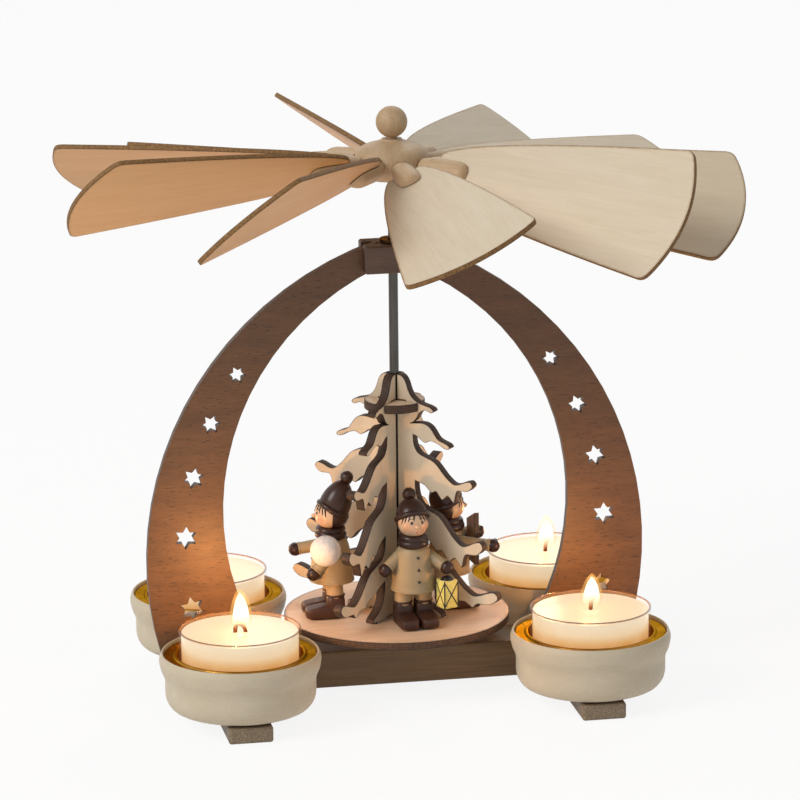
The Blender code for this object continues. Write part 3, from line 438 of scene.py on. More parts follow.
def turned_wood(name, pale, deep, along, ridge=0.03, thread=0.4):
    """Turned wood with faint tool rings round Z on top of its grain."""
    look = wood(name, pale, deep, along, 7.0, 0.4, 12.0, (0.45, 0.62), 0.03, thread)[0]
    rings = look.cloud(look.place(0.35, 0.0006, "Z"), 1.0)
    tool = look.add("TexWave", {"bands_direction": "Z"}, Vector=look.place(1.1), Scale=1.0, Distortion=1.5)
    look.relief(tool.outputs["Fac"], ridge, 0.4)
    look.relief(rings, ridge, 0.2)
    return look.material


def brass(name, dull, clean, bright):
    """Drawn brass with turning marks, smudges and duller stains."""
    look = Look(name, 0.3, Metallic=1.0, Specular_Tint=(0.8, 0.6, 0.34, 1))
    stain = look.cloud(look.place(9.0), 4.0, 0.6)
    marks = look.cloud(look.place(0.4, 0.05, "Z"), 2.0)
    look.colour(look.ramp(stain, (0.3, dull), (0.55, clean), (0.8, bright)))
    look.wear(stain, 0.42, 0.24)
    look.relief(marks, 0.02, 0.4)
    return look.material


def steel():
    """Ground steel rod with fine marks along it."""
    look = Look("steel", 0.32, Metallic=1.0)
    streak = look.cloud(look.place(0.25, 60.0, "Z"), 3.0, 0.6)
    haze = look.cloud(look.place(14.0), 3.0)
    marks = look.ramp(streak, (0.3, "42403C"), (0.7, "63605B"))
    look.colour(look.blend(0.35, marks, look.ramp(haze, (0.3, "403E3A"), (0.7, "605D58"))))
    look.wear(haze, 0.4, 0.26)
    look.relief(streak, 0.01, 0.5)
    return look.material


def clear_plastic():
    """Clear tealight shell with faint moulding waves and smudges, and a dark brown band at its rim painted as
    shade, where a clear rim looks dark by refraction.
    """
    look = Look("clear_shell", 0.08, IOR=1.49)
    smudge = look.cloud(look.place(5.0), 3.0)
    # Painted shade: a dark brown, less clear band round the top of the rim.
    rim = look.span(look.along("Z"), (TEALIGHT_TOP - 0.45) * MM, (TEALIGHT_TOP - 0.3) * MM)
    look.colour(look.blend(rim, look.ramp(smudge, (0.3, "CDB79A"), (0.7, "F1E6D6")), "75512F"))
    look.drive(Alpha=look.span(rim, 0.0, 1.0, 0.07, 0.7))
    look.wear(smudge, 0.14, 0.04)
    look.relief(look.cloud(look.place(3.5, 3.0, "Z"), 2.0), 0.05, 0.3)
    return look.material


def wax_look():
    """Lit wax, which glows through: pale pool on top, deeper orange towards the foot."""
    look = Look("lit_wax", 0.32, Coat_Weight=0.25, Coat_Roughness=0.1, Emission_Strength=0.92)
    height = look.span(look.along("Z"), TEALIGHT_BASE * MM, WAX_TOP * MM)
    uneven = look.span(look.cloud(look.place(11.0), 3.0), 0.3, 0.7, 0.0, 0.35)
    look.colour(look.blend(uneven, "4A4030", "42382A"))
    stops = ((0.4, "CC7E2C"), (0.58, "E8AA60"), (0.75, "F5D4A6"), (0.96, "F6E2C0"), (1.0, "F3E0C0"))
    look.drive(Emission_Color=look.blend(uneven, look.ramp(height, *stops), "FFDDB0"))
    look.relief(look.cloud(look.place(2.6), 3.0), 0.12, 0.35)
    return look.material


def mottled(name, roughness, width, stretch, detail, grain, depth, strength, *stops):
    """Colours and relief that follow one fine cloud, which is drawn out along Z by the stretch."""
    look = Look(name, roughness)
    cloud = look.cloud(look.place(width, stretch, "Z"), detail, grain)
    look.colour(look.ramp(cloud, *stops))
    look.relief(cloud, depth, strength)
    return look.material


def flame_look(name, strength, cover, *stops):
    """Candle flame: faint at its foot, with its colours from there up."""
    look = Look(name, 1.0, Base_Color=(0, 0, 0, 1), Emission_Strength=strength)
    height = look.span(look.along("Z"), FLAME_FOOT * MM, (FLAME_FOOT + FLAME_COLOUR_SPAN) * MM)
    flicker = look.cloud(look.place(3.0, 4.0, "Z"), 2.0)
    paler = look.span(flicker, 0.3, 0.7, 0.0, 0.2)
    look.drive(Emission_Color=look.blend(paler, look.ramp(height, *stops), "FFE9B0"))
    look.drive(Alpha=look.span(height, 0.12, 0.42, 0.0, cover))
    return look.material


def paint(name, pale, deep, roughness, coat=0.0, width=2.6, gloss=0.5):
    """Brushed paint: uneven cover, fine brush lines and a few thin places."""
    look = Look(name, roughness, Coat_Weight=coat, Coat_Roughness=0.12, Specular_IOR_Level=gloss)
    cover = look.cloud(look.place(width), 4.0, 0.6)
    brush = look.cloud(look.place(0.3, 7.0, "Z"), 2.0)
    look.colour(look.blend(0.8, look.ramp(cover, (0.3, deep), (0.65, pale)), pale))
    look.wear(cover, roughness + 0.12, max(roughness - 0.08, 0.05))
    look.relief(brush, 0.04, 0.5)
    return look.material


def skin_look():
    """Painted wooden face, pinker on the cheeks by the blush attribute."""
    look = Look("doll_skin", 0.38, Coat_Weight=0.2, Coat_Roughness=0.2)
    cover = look.cloud(look.place(2.2), 4.0)
    base = look.ramp(cover, (0.3, "C6A484"), (0.7, "D4B898"))
    look.colour(look.blend(look.attribute("blush"), base, "CC8468"))
    look.relief(look.cloud(look.place(0.35, 5.0, "Z"), 2.0), 0.03, 0.5)
    return look.material


LOOKS = {
    # Arch and block: their edge colour is also painted shade over their upper parts.
    "arch": stained_wood("arch_wood", "7A5432", "634326", "24170F", "Y"),
    "block": stained_wood("block_wood", "69503C", "573F2D", "2A1B14", "Y"),
    "board": plain_wood("board_wood", "8A6B45", "6E5232", "X", 4.0, 0.35, 18.0, (0.42, 0.6), 0.05),
    "bar": end_grain_wood(),
    "cup": turned_wood("cup_wood", "CFC3AC", "C6B9A0", "X", 0.02, 0.15),
    "hub": turned_wood("hub_wood", "C6AB89", "B09370", "Z"),
    "peg": turned_wood("peg_wood", "CFB694", "BC9F7B", "X", 0.02),
    # Blades: the warm colour after the axis paints candle light on their undersides.
    "blade": scorched_wood(
        "blade_ply", "DACBB2", "D3C3A8", "9A7142", "X", "F2CFA8",
        figure=3.2, fibre=0.28, stretch=22.0, thread=0.15,
    ),
    "blade_edge": cut_edge("blade_cut", "6A4B24", "B4874A", BLADE_THICKNESS / 2, "Z"),
    "fin": scorched_wood(
        "fin_ply", "DCCCB4", "D6C5AB", "7B5631", "Y", figure=4.0, fibre=0.3, stretch=18.0, thread=0.1
    ),
    "fin_edge": cut_edge("fin_cut", "2A1B12", "573A23", FIN_THICKNESS / 2, "Z"),
    "disc": scorched_wood("disc_ply", "E0CAB3", "D5BBA2", "6F4A2C", "X", figure=4.5, fibre=0.3, stretch=20.0),
    "disc_edge": cut_edge("disc_cut", "3A2415", "7A5331", (DISC_TOP - DISC_BASE) / 2, "Z"),
    "brass": brass("brass", "7A5824", "9E7434", "BA8E4A"),
    "bush": brass("aged_brass", "2E2118", "4A3624", "5F4830"),
    "steel": steel(),
    "shell": clear_plastic(),
    "wax": wax_look(),
    "wick": mottled(
        "burnt_wick", 0.85, 0.5, 2.0, 4.0, 0.65, 0.15, 0.6,
        (0.3, "3B2014"), (0.55, "8A4A24"), (0.75, "C98A50"),
    ),
    "flame": flame_look(
        "flame", 1.5, 0.95, (0.0, "FFC46A"), (0.25, "FFEBC0"), (0.5, "FFFBEE"), (1.0, "FFF3D0")
    ),
    "halo": flame_look("flame_halo", 1.0, 0.15, (0.0, "FFB648"), (0.4, "FFD05E"), (1.0, "FFB428")),
    "coat": paint("coat_paint", "A08D6C", "8E7B5A", 0.5),
    "skin": skin_look(),
    "dark": paint("dark_paint", "321D16", "23130E", 0.34, 0.15, 2.6, 0.25),
    "trouser": paint("trouser_paint", "B79C76", "A48862", 0.5),
    "boot": paint("boot_paint", "3F261C", "2D1A13", 0.42, 0.1, 2.6, 0.3),
    "black": paint("black_paint", "17110E", "0E0A08", 0.3, 0.4, 0.8),
    "nose": paint("nose_paint", "C9785A", "B5624A", 0.4, 0.2, 0.8),
    "pane": mottled("lantern_paper", 0.5, 0.8, 1.0, 4.0, 0.65, 0.05, 0.5, (0.3, "D2C55C"), (0.7, "EDE48E")),
    "snow": mottled("snow_paint", 0.8, 0.5, 1.0, 5.0, 0.7, 0.18, 0.7, (0.3, "D3CCC6"), (0.65, "EEEAE6")),
    "sled": plain_wood("sled_wood", "9A7450", "7C5A3C", "Z", 2.0, 0.25, 12.0, (0.45, 0.6), 0.04),
    "sled_edge": paint("sled_edge_paint", "3B271C", "2A1A12", 0.5),
}


def turns(count):
    """Even steps round a circle, in radians."""
    return [2 * math.pi * k / count for k in range(count)]


def spin(degrees, axis="Z"):
    return Matrix.Rotation(math.radians(degrees), 4, axis)


def put(name, data):
    """A new object in the scene."""
    made = bpy.data.objects.new(name, data)
    bpy.context.scene.collection.objects.link(made)
    return made


def tag(bm, known, slot):
    """Give every face that isn't among the known ones its material slot, and shade it smooth."""
    for face in bm.faces:
        if face not in known:
            face.material_index = slot
            face.smooth = True


def eased(points, steps=4):
    """A profile whose corners are rounded. A point is (x, y) or (x, y, size of the rounding)."""
    made = []
    for k, point in enumerate(points):
        here = Vector(point[:2])
        size = point[2] if len(point) > 2 else 0
        if not size:
            made.append(here)
            continue
        before = Vector(points[k - 1][:2])
        after = Vector(points[(k + 1) % len(points)][:2])
        start = here + (before - here).normalized() * size
        end = here + (after - here).normalized() * size
        for step in range(steps + 1):
            share = step / steps
            made.append(start.lerp(here, share).lerp(here.lerp(end, share), share))
    return made


def curve(points, passes=2):
    """Points with more between each pair, on a curve through them all."""
    points = [Vector(point) for point in points]
    for _ in range(passes):
        made = []
        for k in range(len(points) - 1):
            before = points[max(k - 1, 0)]
            after = points[min(k + 2, len(points) - 1)]
            made.append(points[k])
            made.append((points[k] + points[k + 1]) * 0.5625 - (before + after) * 0.0625)
        points = made + [points[-1]]
    return points


def skin_rings(bm, rings, closed=False):
    """Faces between rings of points. A ring of one point is a pole."""
    pairs = list(zip(rings, rings[1:])) + ([(rings[-1], rings[0])] if closed else [])
    for first, second in pairs:
        count = max(len(first), len(second))
        for k in range(count):
            after = (k + 1) % count
            corners = []
            for ring, order in ((first, (k, after)), (second, (after, k))):
                corners += [ring[0]] if len(ring) == 1 else [ring[j] for j in order]
            bm.faces.new(corners)


def add_lathe(bm, profile, slot=0, sides=ROUND, matrix=Matrix()):
    """A body turned about Z. The profile ends on the axis twice, or closes on itself."""
    known = set(bm.faces)
    rings = []
    for radius, height in profile:
        steps = turns(sides) if radius > 1e-6 else [0.0]
        points = [Vector((radius * math.cos(t), radius * math.sin(t), height)) for t in steps]
        rings.append([bm.verts.new(matrix @ point) for point in points])
    skin_rings(bm, rings, closed=len(rings[0]) > 1)
    tag(bm, known, slot)


def add_blob(bm, centre, radii, slot=0, power=1.0, sides=20, lumps=0.0):
    """A rounded body: an ellipsoid, or boxier where the power is under 1. Lumps make it uneven."""
    known = set(bm.faces)
    rings = []
    stacks = max(sides // 2, 6)
    for stack in range(stacks + 1):
        lean = math.pi * stack / stacks
        ring = []
        for t in turns(sides) if 0 < stack < stacks else [0.0]:
            way = Vector((math.sin(lean) * math.cos(t), math.sin(lean) * math.sin(t), -math.cos(lean)))
            shaped = [math.copysign(abs(part) ** power, part) * radius for part, radius in zip(way, radii)]
            uneven = 1 + lumps * noise.noise(3 * way + Vector(centre))
            ring.append(bm.verts.new(Vector(centre) + Vector(shaped) * uneven))
        rings.append(ring)
    skin_rings(bm, rings)
    tag(bm, known, slot)


def add_tube(bm, path, radii, slot=0, sides=12, closed=False):
    """A round body along a path. Open ends are rounded."""
    known = set(bm.faces)
    path = [Vector(point) for point in path]
    radii = list(radii) if hasattr(radii, "__len__") else [radii] * len(path)
    if not closed:
        first, last = (path[0] - path[1]).normalized(), (path[-1] - path[-2]).normalized()
        path = [path[0] + first * radii[0] * 0.75, path[0] + first * radii[0] * 0.5] + path
        path += [path[-1] + last * radii[-1] * 0.5, path[-1] + last * radii[-1] * 0.75]
        radii = [radii[0] * 0.35, radii[0] * 0.8] + radii + [radii[-1] * 0.8, radii[-1] * 0.35]
    count = len(path)
    across = None
    rings = []
    for k, point in enumerate(path):
        ahead = path[(k + 1) % count] if closed or k < count - 1 else point
        behind = path[k - 1] if closed or k > 0 else point
        along = (ahead - behind).normalized()
        if across is None:
            across = along.cross(UP if abs(along.z) < 0.9 else Vector((1, 0, 0)))
        across = (across - along * across.dot(along)).normalized()
        over = along.cross(across)
        ring = [point + radii[k] * (across * math.cos(t) + over * math.sin(t)) for t in turns(sides)]
        rings.append([bm.verts.new(corner) for corner in ring])
    skin_rings(bm, rings, closed)
    if not closed:
        bm.faces.new(rings[0][::-1])
        bm.faces.new(rings[-1])
    tag(bm, known, slot)


def inset(outline, amount):
    """An outline moved inwards. It runs counterclockwise. Points that cross over are spread out again."""
    count = len(outline)
    made = []
    for k, here in enumerate(outline):
        arriving = (here - outline[k - 1]).normalized()
        leaving = (outline[(k + 1) % count] - here).normalized()
        inward = (arriving + leaving).orthogonal().normalized()
        straight = max(inward.dot(arriving.orthogonal()), 0.6)
        made.append(here + inward * amount / straight)
    for _ in range(40):
        for k in range(count):
            after = (k + 1) % count
            if (made[after] - made[k]).dot(outline[after] - outline[k]) <= 0:
                start, end = made[k - 1], made[(k + 2) % count]
                made[k] = start.lerp(end, 1 / 3)
                made[after] = start.lerp(end, 2 / 3)
    return made


def add_slab(bm, outline, thickness, slots=(0, 1), bevel=0.18, browning=0.55):
    """A plate in the XY plane with eased edges. Its faces carry the scorch attribute along the cut."""
    scorch = bm.verts.layers.float.get("scorch") or bm.verts.layers.float.new("scorch")
    outline = [Vector(point) for point in outline]
    area = sum(outline[k - 1].cross(outline[k]) for k in range(len(outline)))
    if area < 0:
        outline.reverse()
    half = thickness / 2
    ease = 0.3 * bevel
    levels = ((bevel + browning, half, 0), (bevel, half, 1), (ease, half - ease, 1), (0, half - bevel, 1))
    rings = []
    for sign, order in ((-1, levels), (1, levels[::-1])):
        for amount, height, browned in order:
            ring = [bm.verts.new((*point, sign * height)) for point in inset(outline, amount)]
            for vert in ring:
                vert[scorch] = browned
            rings.append(ring)
    flat = [bm.faces.new(rings[0][::-1]), bm.faces.new(rings[-1])]
    known = set(bm.faces)
    skin_rings(bm, rings[:2])
    skin_rings(bm, rings[-2:])
    flat += [face for face in bm.faces if face not in known]
    for face in flat:
        face.material_index = slots[0]
        face.smooth = False
    known = set(bm.faces)
    skin_rings(bm, rings[1:-1])
    tag(bm, known, slots[1])


def add_box(bm, size, centre, slot=0, matrix=Matrix(), bevel=0.15):
    """A box with eased edges."""
    known = set(bm.faces)
    made = bmesh.ops.create_cube(bm, size=1)["verts"]
    for vert in made:
        vert.co = Vector(centre) + Vector([vert.co[k] * size[k] for k in range(3)])
    edges = list(dict.fromkeys(edge for vert in made for edge in vert.link_edges))
    bmesh.ops.bevel(bm, geom=edges, offset=bevel, segments=2, profile=0.5, affect="EDGES")
    faces = [face for face in bm.faces if face not in known]
    bmesh.ops.transform(bm, matrix=matrix, verts=list({vert for face in faces for vert in face.verts}))
    tag(bm, known, slot)


def cut(bm, cutter):
    """The first body with the second one cut out of it."""
    helpers = []
    for name, source in (("cut_body", bm), ("cut_tool", cutter)):
        bmesh.ops.recalc_face_normals(source, faces=source.faces)
        mesh = bpy.data.meshes.new(name)
        source.to_mesh(mesh)
        source.free()
        helpers.append(put(name, mesh))
    modifier = helpers[0].modifiers.new("cut", "BOOLEAN")
    modifier.operation = "DIFFERENCE"
    modifier.solver = "EXACT"
    modifier.object = helpers[1]
    made = bmesh.new()
    made.from_object(helpers[0], bpy.context.evaluated_depsgraph_get())
    for helper in helpers:
        mesh = helper.data
        bpy.data.objects.remove(helper)
        bpy.data.meshes.remove(mesh)
    return made


def piece(name, bm, looks, body, node=None, place=Matrix()):
    """Place a body made in millimetres. It rides on a CAD body and may stand for a CAD node."""
    bmesh.ops.recalc_face_normals(bm, faces=bm.faces)
    bm.transform(Matrix.Scale(MM, 4))
    mesh = bpy.data.meshes.new(name)
    bm.to_mesh(mesh)
    bm.free()
    for look in looks:
        mesh.materials.append(LOOKS[look])
    mesh.set_sharp_from_angle(angle=math.radians(SHARP_ANGLE))
    made = put(name, mesh)
    made.matrix_world = Matrix.Translation(place.translation * MM) @ place.to_3x3().to_4x4()
    bpy.context.view_layer.update()
    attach(made, body)
    if node:
        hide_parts(node)
    return made


def dress_frame():
    """Materials on the CAD nodes whose shape is right as it is."""
    dressed = {
        "base_board": "board",
        "cross_bar_left": "bar",
        "cross_bar_right": "bar",
        "arch_arm_left": "arch",
        "arch_arm_right": "arch",
        "arch_top_block": "block",
        "top_bearing_bush": "bush",
        "bottom_bearing_cup": "brass",
        "shaft": "steel",
    }
    for node, look in dressed.items():
        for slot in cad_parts[node].material_slots:
            slot.material = LOOKS[look]


def turned_piece(name, profile, look, body, node, place=Matrix()):
    """A piece that is one turned body with one look."""
    bm = bmesh.new()
    add_lathe(bm, profile)
    piece(name, bm, [look], body, node, place)


def cup_profile():
    """Cup with a rebate for the liner's flange, a bulged lip, a waist and a rounded foot."""
    height = CUP_TOP - CUP_BASE
    floor = LINER_BASE - GAP
    rebate = FLANGE_TOP - LINER_WALL - GAP
    seat = FLANGE_RADIUS + GAP
    inside = [(0, floor), (CUP_BORE, floor), (CUP_BORE, rebate), (seat, rebate)]
    inside += [(seat, CUP_TOP - 0.25), (seat + 0.2, CUP_TOP)]
    shares = (
        (CUP_RADIUS - 0.1, 0.92), (CUP_RADIUS, 0.84), (CUP_RADIUS - 0.5, 0.71), (CUP_WAIST + 0.35, 0.6),
        (CUP_WAIST, 0.5), (CUP_WAIST, 0.32), (CUP_WAIST - 0.5, 0.17), (CUP_WAIST - 2.2, 0.05), (CUP_FOOT, 0),
    )
    outside = [(CUP_RADIUS - 0.7, CUP_TOP - 0.05)]
    outside += [(radius, CUP_BASE + share * height) for radius, share in shares]
    return inside + curve(outside) + [(0, CUP_BASE)]


def liner_profile():
    """Liner pressed from sheet: a pan with a rolled ridge and a flange."""
    pan = LINER_BASE + LINER_WALL
    ridge = FLANGE_TOP + 0.35
    below = FLANGE_TOP - LINER_WALL
    return eased([
        (0, pan), (LINER_BORE, pan, 0.8), (LINER_BORE, ridge, 0.3), (LINER_BORE + 0.9, ridge, 0.4),
        (LINER_BORE + 1.2, FLANGE_TOP - 0.15, 0.2), (FLANGE_RADIUS - 0.8, FLANGE_TOP - 0.1, 0.2),
        (FLANGE_RADIUS, FLANGE_TOP, 0.15), (FLANGE_RADIUS, below, 0.15), (LINER_RADIUS, below, 0.15),
        (LINER_RADIUS, LINER_BASE, 0.9), (0, LINER_BASE),
    ])


def shell_profile():
    """Thin clear pot with an eased rim."""
    inner = TEALIGHT_RADIUS - SHELL_WALL
    bottom = TEALIGHT_BASE + SHELL_WALL
    return eased([
        (0, bottom), (inner, bottom, 0.6), (inner, TEALIGHT_TOP, 0.25), (TEALIGHT_RADIUS, TEALIGHT_TOP, 0.25),
        (TEALIGHT_RADIUS, TEALIGHT_BASE, 1.0), (0, TEALIGHT_BASE),
    ])


def make_wax(corner, place):
    """Wax with a shallow dish, a mound at its middle and the wick."""
    foot = TEALIGHT_BASE + 1.0
    wax = [
        (0, WAX_DISH), (0.72 * WAX_RADIUS, WAX_DISH + 0.05, 1.5), (WAX_RADIUS, WAX_TOP, 0.2),
        (WAX_RADIUS, foot, 0.5), (0, foot),
    ]
    mound = [(0, WAX_DISH + 0.5), (2.6, WAX_DISH + 0.3, 0.6), (3.4, WAX_DISH - 0.2), (0, WAX_DISH - 0.2)]
    bm = bmesh.new()
    add_lathe(bm, eased(wax))
    add_lathe(bm, eased(mound))
    add_tube(bm, wick_path(corner), WICK_RADIUS, 1, 10)
    piece(f"wax_{corner}", bm, ["wax", "wick"], f"tealight_{corner}", f"tealight_wax_{corner}", place)


def make_flame(corner, place):
    """Flame and its halo, bent a little differently at each corner, with a lamp inside."""
    x, y = CORNERS[corner]
    height = FLAME_HEIGHTS[corner]
    bm = bmesh.new()
    for slot, wider, taller in ((0, 1.0, 1.0), (1, 1.35, 1.1)):
        add_lathe(bm, flame_profile(wider * FLAME_RADIUS, taller * height), slot, 24)
    for vert in bm.verts:
        rise = (vert.co.z - FLAME_FOOT) / FLAME_WAVE
        vert.co.x += FLAME_SWAY * math.sin(2.6 * rise + x)
        vert.co.y += FLAME_SWAY * math.sin(2.2 * rise + y)
    flame = piece(f"flame_{corner}", bm, ["flame", "halo"], f"tealight_{corner}", None, place)
    flame.visible_shadow = False
    add_glow(flame, height)


def make_candles():
    """Turned cups, brass liners with a rolled ridge, and lit tealights."""
    for corner, (x, y) in CORNERS.items():
        place = Matrix.Translation((x, y, 0))
        for name, profile, look, body, slot, node in (
            ("cup", cup_profile(), "cup", "frame", "turned_wood", "candle_cup"),
            ("liner", liner_profile(), "brass", "frame", "brass", "cup_liner"),
            ("shell", shell_profile(), "shell", f"tealight_{corner}", "clear_plastic", "tealight_shell"),
        ):
            turned_piece(f"{name}_{corner}", profile, look, body, f"{node}_{corner}", place)
        make_wax(corner, place)
        make_flame(corner, place)


def add_glow(flame, height):
    """Small warm lamp in a flame, which it goes along with."""
    lamp = bpy.data.lights.new(f"{flame.name}_glow", "POINT")
    lamp.energy = GLOW_POWER * height**2
    lamp.color = GLOW_COLOUR
    lamp.shadow_soft_size = GLOW_RADIUS * MM
    light = put(lamp.name, lamp)
    light.parent = flame
    light.location = Vector((0, 0, FLAME_FOOT + GLOW_RISE)) * MM


def wick_path(corner):
    """Wicks stand up, apart from the front left one, which has curled over."""
    foot = WAX_DISH - 0.5
    if corner != "front_left":
        return curve([(0, 0, foot), (0.1, 0, foot + 2.2), (0.45, 0.1, foot + 4.0), (1.0, 0.1, foot + 5.0)])
    bend = [(-1.4, 0, foot), (-1.4, 0, foot + 2.0), (-0.9, 0, foot + 3.2), (0, 0, foot + 3.5)]
    return curve(bend + [(1.0, -0.1, foot + 2.9), (1.6, -0.2, foot + 1.7), (1.8, -0.2, foot + 0.9)])


def flame_profile(radius, height):
    """Drop that is widest a third of the way up."""
    shares = ((0, 0), (0.5, 0.05), (0.86, 0.16), (1, 0.32), (0.95, 0.5), (0.72, 0.72), (0.38, 0.9), (0, 1))
    return curve([(radius * a, FLAME_FOOT + height * b) for a, b in shares])


def fin_outline():
    """Outline of one fin: tiers from the top down, foot with its tab, then up beside the shaft."""
    start = Vector((TREE_TOP_REACH, TREE_HEIGHT))
    outline = [start]
    for tip_share, notch_share, shares, deepness in zip(TIP_SHARES, NOTCH_SHARES, TIER_EDGES, SNOW_DEPTHS):
        tip = Vector((tip_share[0] * TREE_REACH, tip_share[1] * TREE_HEIGHT))
        notch = Vector((notch_share[0] * TREE_REACH, notch_share[1] * TREE_HEIGHT))
        edge = [start + Vector((a * (tip.x - start.x), b * (tip.y - start.y))) for a, b in shares]
        snow = []
        for share, depth in SNOW_EDGE if deepness else ():
            snow.append(edge[-1].lerp(notch, share) - Vector((0, deepness * depth * (tip.x - start.x))))
        outline += curve([start] + edge + snow + [notch])[1:]
        start = notch
    span = FOOT_REACH - start.x
    trunk = [Vector((start.x + a * span, start.y * (1 - b))) for a, b in TRUNK_EDGE]
    outline += curve([start] + trunk)[1:]
    tab = DISC_BASE - DISC_TOP
    lock_base = LOCK_RISE - GAP
    lock_top = LOCK_RISE + LOCK_THICKNESS + GAP
    lock_reach = LOCK_SLOT_START + GAP
    corners = (
        (FOOT_REACH, 0), (TAB_END, 0), (TAB_END, tab), (TAB_START, tab), (TAB_START, 0), (FIN_INNER, 0),
        (FIN_INNER, lock_base), (lock_reach, lock_base), (lock_reach, lock_top), (FIN_INNER, lock_top),
        (FIN_INNER, TREE_HEIGHT),
    )
    return outline + [Vector(corner) for corner in corners]


def make_tree():
    """Four fins on the turntable with their lock disc, the turntable itself and its collar."""
    for name, azimuth in FIN_AZIMUTHS.items():
        bm = bmesh.new()
        add_slab(bm, fin_outline(), FIN_THICKNESS, bevel=0.12, browning=0.25)
        place = Matrix.Translation((0, 0, TREE_BASE)) @ spin(azimuth) @ spin(90, "X")
        piece(f"fin_{name}", bm, ["fin", "fin_edge"], "rotor", f"tree_fin_{name}", place)
    for name, radius, thickness, base, slot_span, look, slot, node in (
        ("lock", LOCK_RADIUS, LOCK_THICKNESS, TREE_BASE + LOCK_RISE, (LOCK_SLOT_START, LOCK_RADIUS + 2),
         "fin", "pale_plywood", "tree_lock_disc"),
        ("turntable", DISC_RADIUS, DISC_TOP - DISC_BASE, DISC_BASE, (TAB_START - GAP, TAB_END + GAP),
         "disc", "disc_wood", "turntable_disc"),
    ):
        bm = slotted_disc(radius, thickness, *slot_span)
        place = Matrix.Translation((0, 0, base + thickness / 2))
        piece(name, bm, [look, look + "_edge"], "rotor", node, place)
    collar = eased([(SHAFT_BORE, COLLAR_TOP), *COLLAR_SIDE, (SHAFT_BORE, COLLAR_BASE)])
    turned_piece("collar", collar, "hub", "rotor", "turntable_collar")


def slotted_disc(radius, thickness, start, end):
    """A plate disc with a hole for the shaft and a slot for each fin."""
    bm = bmesh.new()
    add_slab(bm, [(radius * math.cos(t), radius * math.sin(t)) for t in turns(96)], thickness, browning=1.0)
    cutter = bmesh.new()
    bore = [(0, -thickness), (SHAFT_BORE, -thickness), (SHAFT_BORE, thickness), (0, thickness)]
    add_lathe(cutter, bore, 1, 24)
    for azimuth in FIN_AZIMUTHS.values():
        size = (end - start, FIN_THICKNESS + 2 * GAP, 3 * thickness)
        add_box(cutter, size, ((start + end) / 2, 0, 0), 1, spin(azimuth), 0.02)
    return cut(bm, cutter)


def blade_outline():
    """Blade from its root in the peg to the bulged tip, with rounded corners."""
    side = []
    for k in range(BLADE_SIDE_STEPS + 1):
        share = (k / BLADE_SIDE_STEPS) ** 1.5
        half = BLADE_ROOT_HALF + (BLADE_TIP_HALF - BLADE_ROOT_HALF) * share**BLADE_SIDE_CURVE
        side.append((BLADE_ROOT + share * (BLADE_CORNER - BLADE_ROOT), half))
    tip = []
    for k in range(BLADE_TIP_STEPS - 2, -1, -1):
        share = k / BLADE_TIP_STEPS
        tip.append((BLADE_CORNER + (1 - share**2) * BLADE_TIP_BULGE, BLADE_TIP_HALF * share))
    corner = side.pop()
    half_outline = [(*side[0], 1.0)] + side[1:] + [(*corner, BLADE_ROUNDING)] + tip
    mirrored = [(point[0], -point[1], *point[2:]) for point in half_outline[-2::-1]]
    return eased(half_outline + mirrored, 5)[::-1]


def hub_profile():
    """Hub with a socket for the ball's stem on top and the shaft's bore below."""
    neck = [(0, HUB_ABOVE - 2), (1.6, HUB_ABOVE - 2), (1.8, HUB_ABOVE)]
    upper = ((0.5, 0.82), (0.74, 0.7), (0.93, 0.48), (1.0, 0.18))
    lower = ((1.0, 0.3), (0.94, 0.72), (0.8, 0.97), (0.7, 1.0))
    rounding = [(NECK_RADIUS, HUB_ABOVE), (1.15 * NECK_RADIUS, 0.93 * HUB_ABOVE)]
    rounding += [(a * HUB_RADIUS, b * HUB_ABOVE) for a, b in upper]
    rounding += [(a * HUB_RADIUS, -b * HUB_BELOW) for a, b in lower]
    below = [(SHAFT_BORE, -HUB_BELOW), (SHAFT_BORE, HUB_BORE_TOP), (0, HUB_BORE_TOP)]
    return neck + curve(rounding) + below


def ball_profile():
    """Ball on a stem that stands in the hub's socket."""
    middle = HUB_ABOVE + GAP + BALL_RADIUS
    stem = [(0, HUB_ABOVE - 1.8), (1.45, HUB_ABOVE - 1.8), (1.5, HUB_ABOVE + 0.5)]
    arc = [math.radians(-90 + 7.5 * k) for k in range(3, 24)]
    ball = [(BALL_RADIUS * math.cos(a), middle + BALL_RADIUS * math.sin(a)) for a in arc]
    return stem + ball + [(0, middle + BALL_RADIUS)]


def peg_profile():
    """Peg: thin shank in the hub, a shoulder that swells where there is room, and a rounded end."""
    return eased([
        (0, PEG_START), (PEG_SHANK_RADIUS, PEG_START, 0.3), (PEG_SHANK_RADIUS, PEG_SHOULDER),
        (PEG_SHOULDER_RADIUS, PEG_SHOULDER, 0.3), (PEG_RADIUS, PEG_SWELL, 1.5),
        (PEG_RADIUS, PEG_END - 3.4, 1.6), (0.82 * PEG_RADIUS, PEG_END - 1.0, 0.9),
        (0.4 * PEG_RADIUS, PEG_END - 0.1, 0.7), (0, PEG_END),
    ])


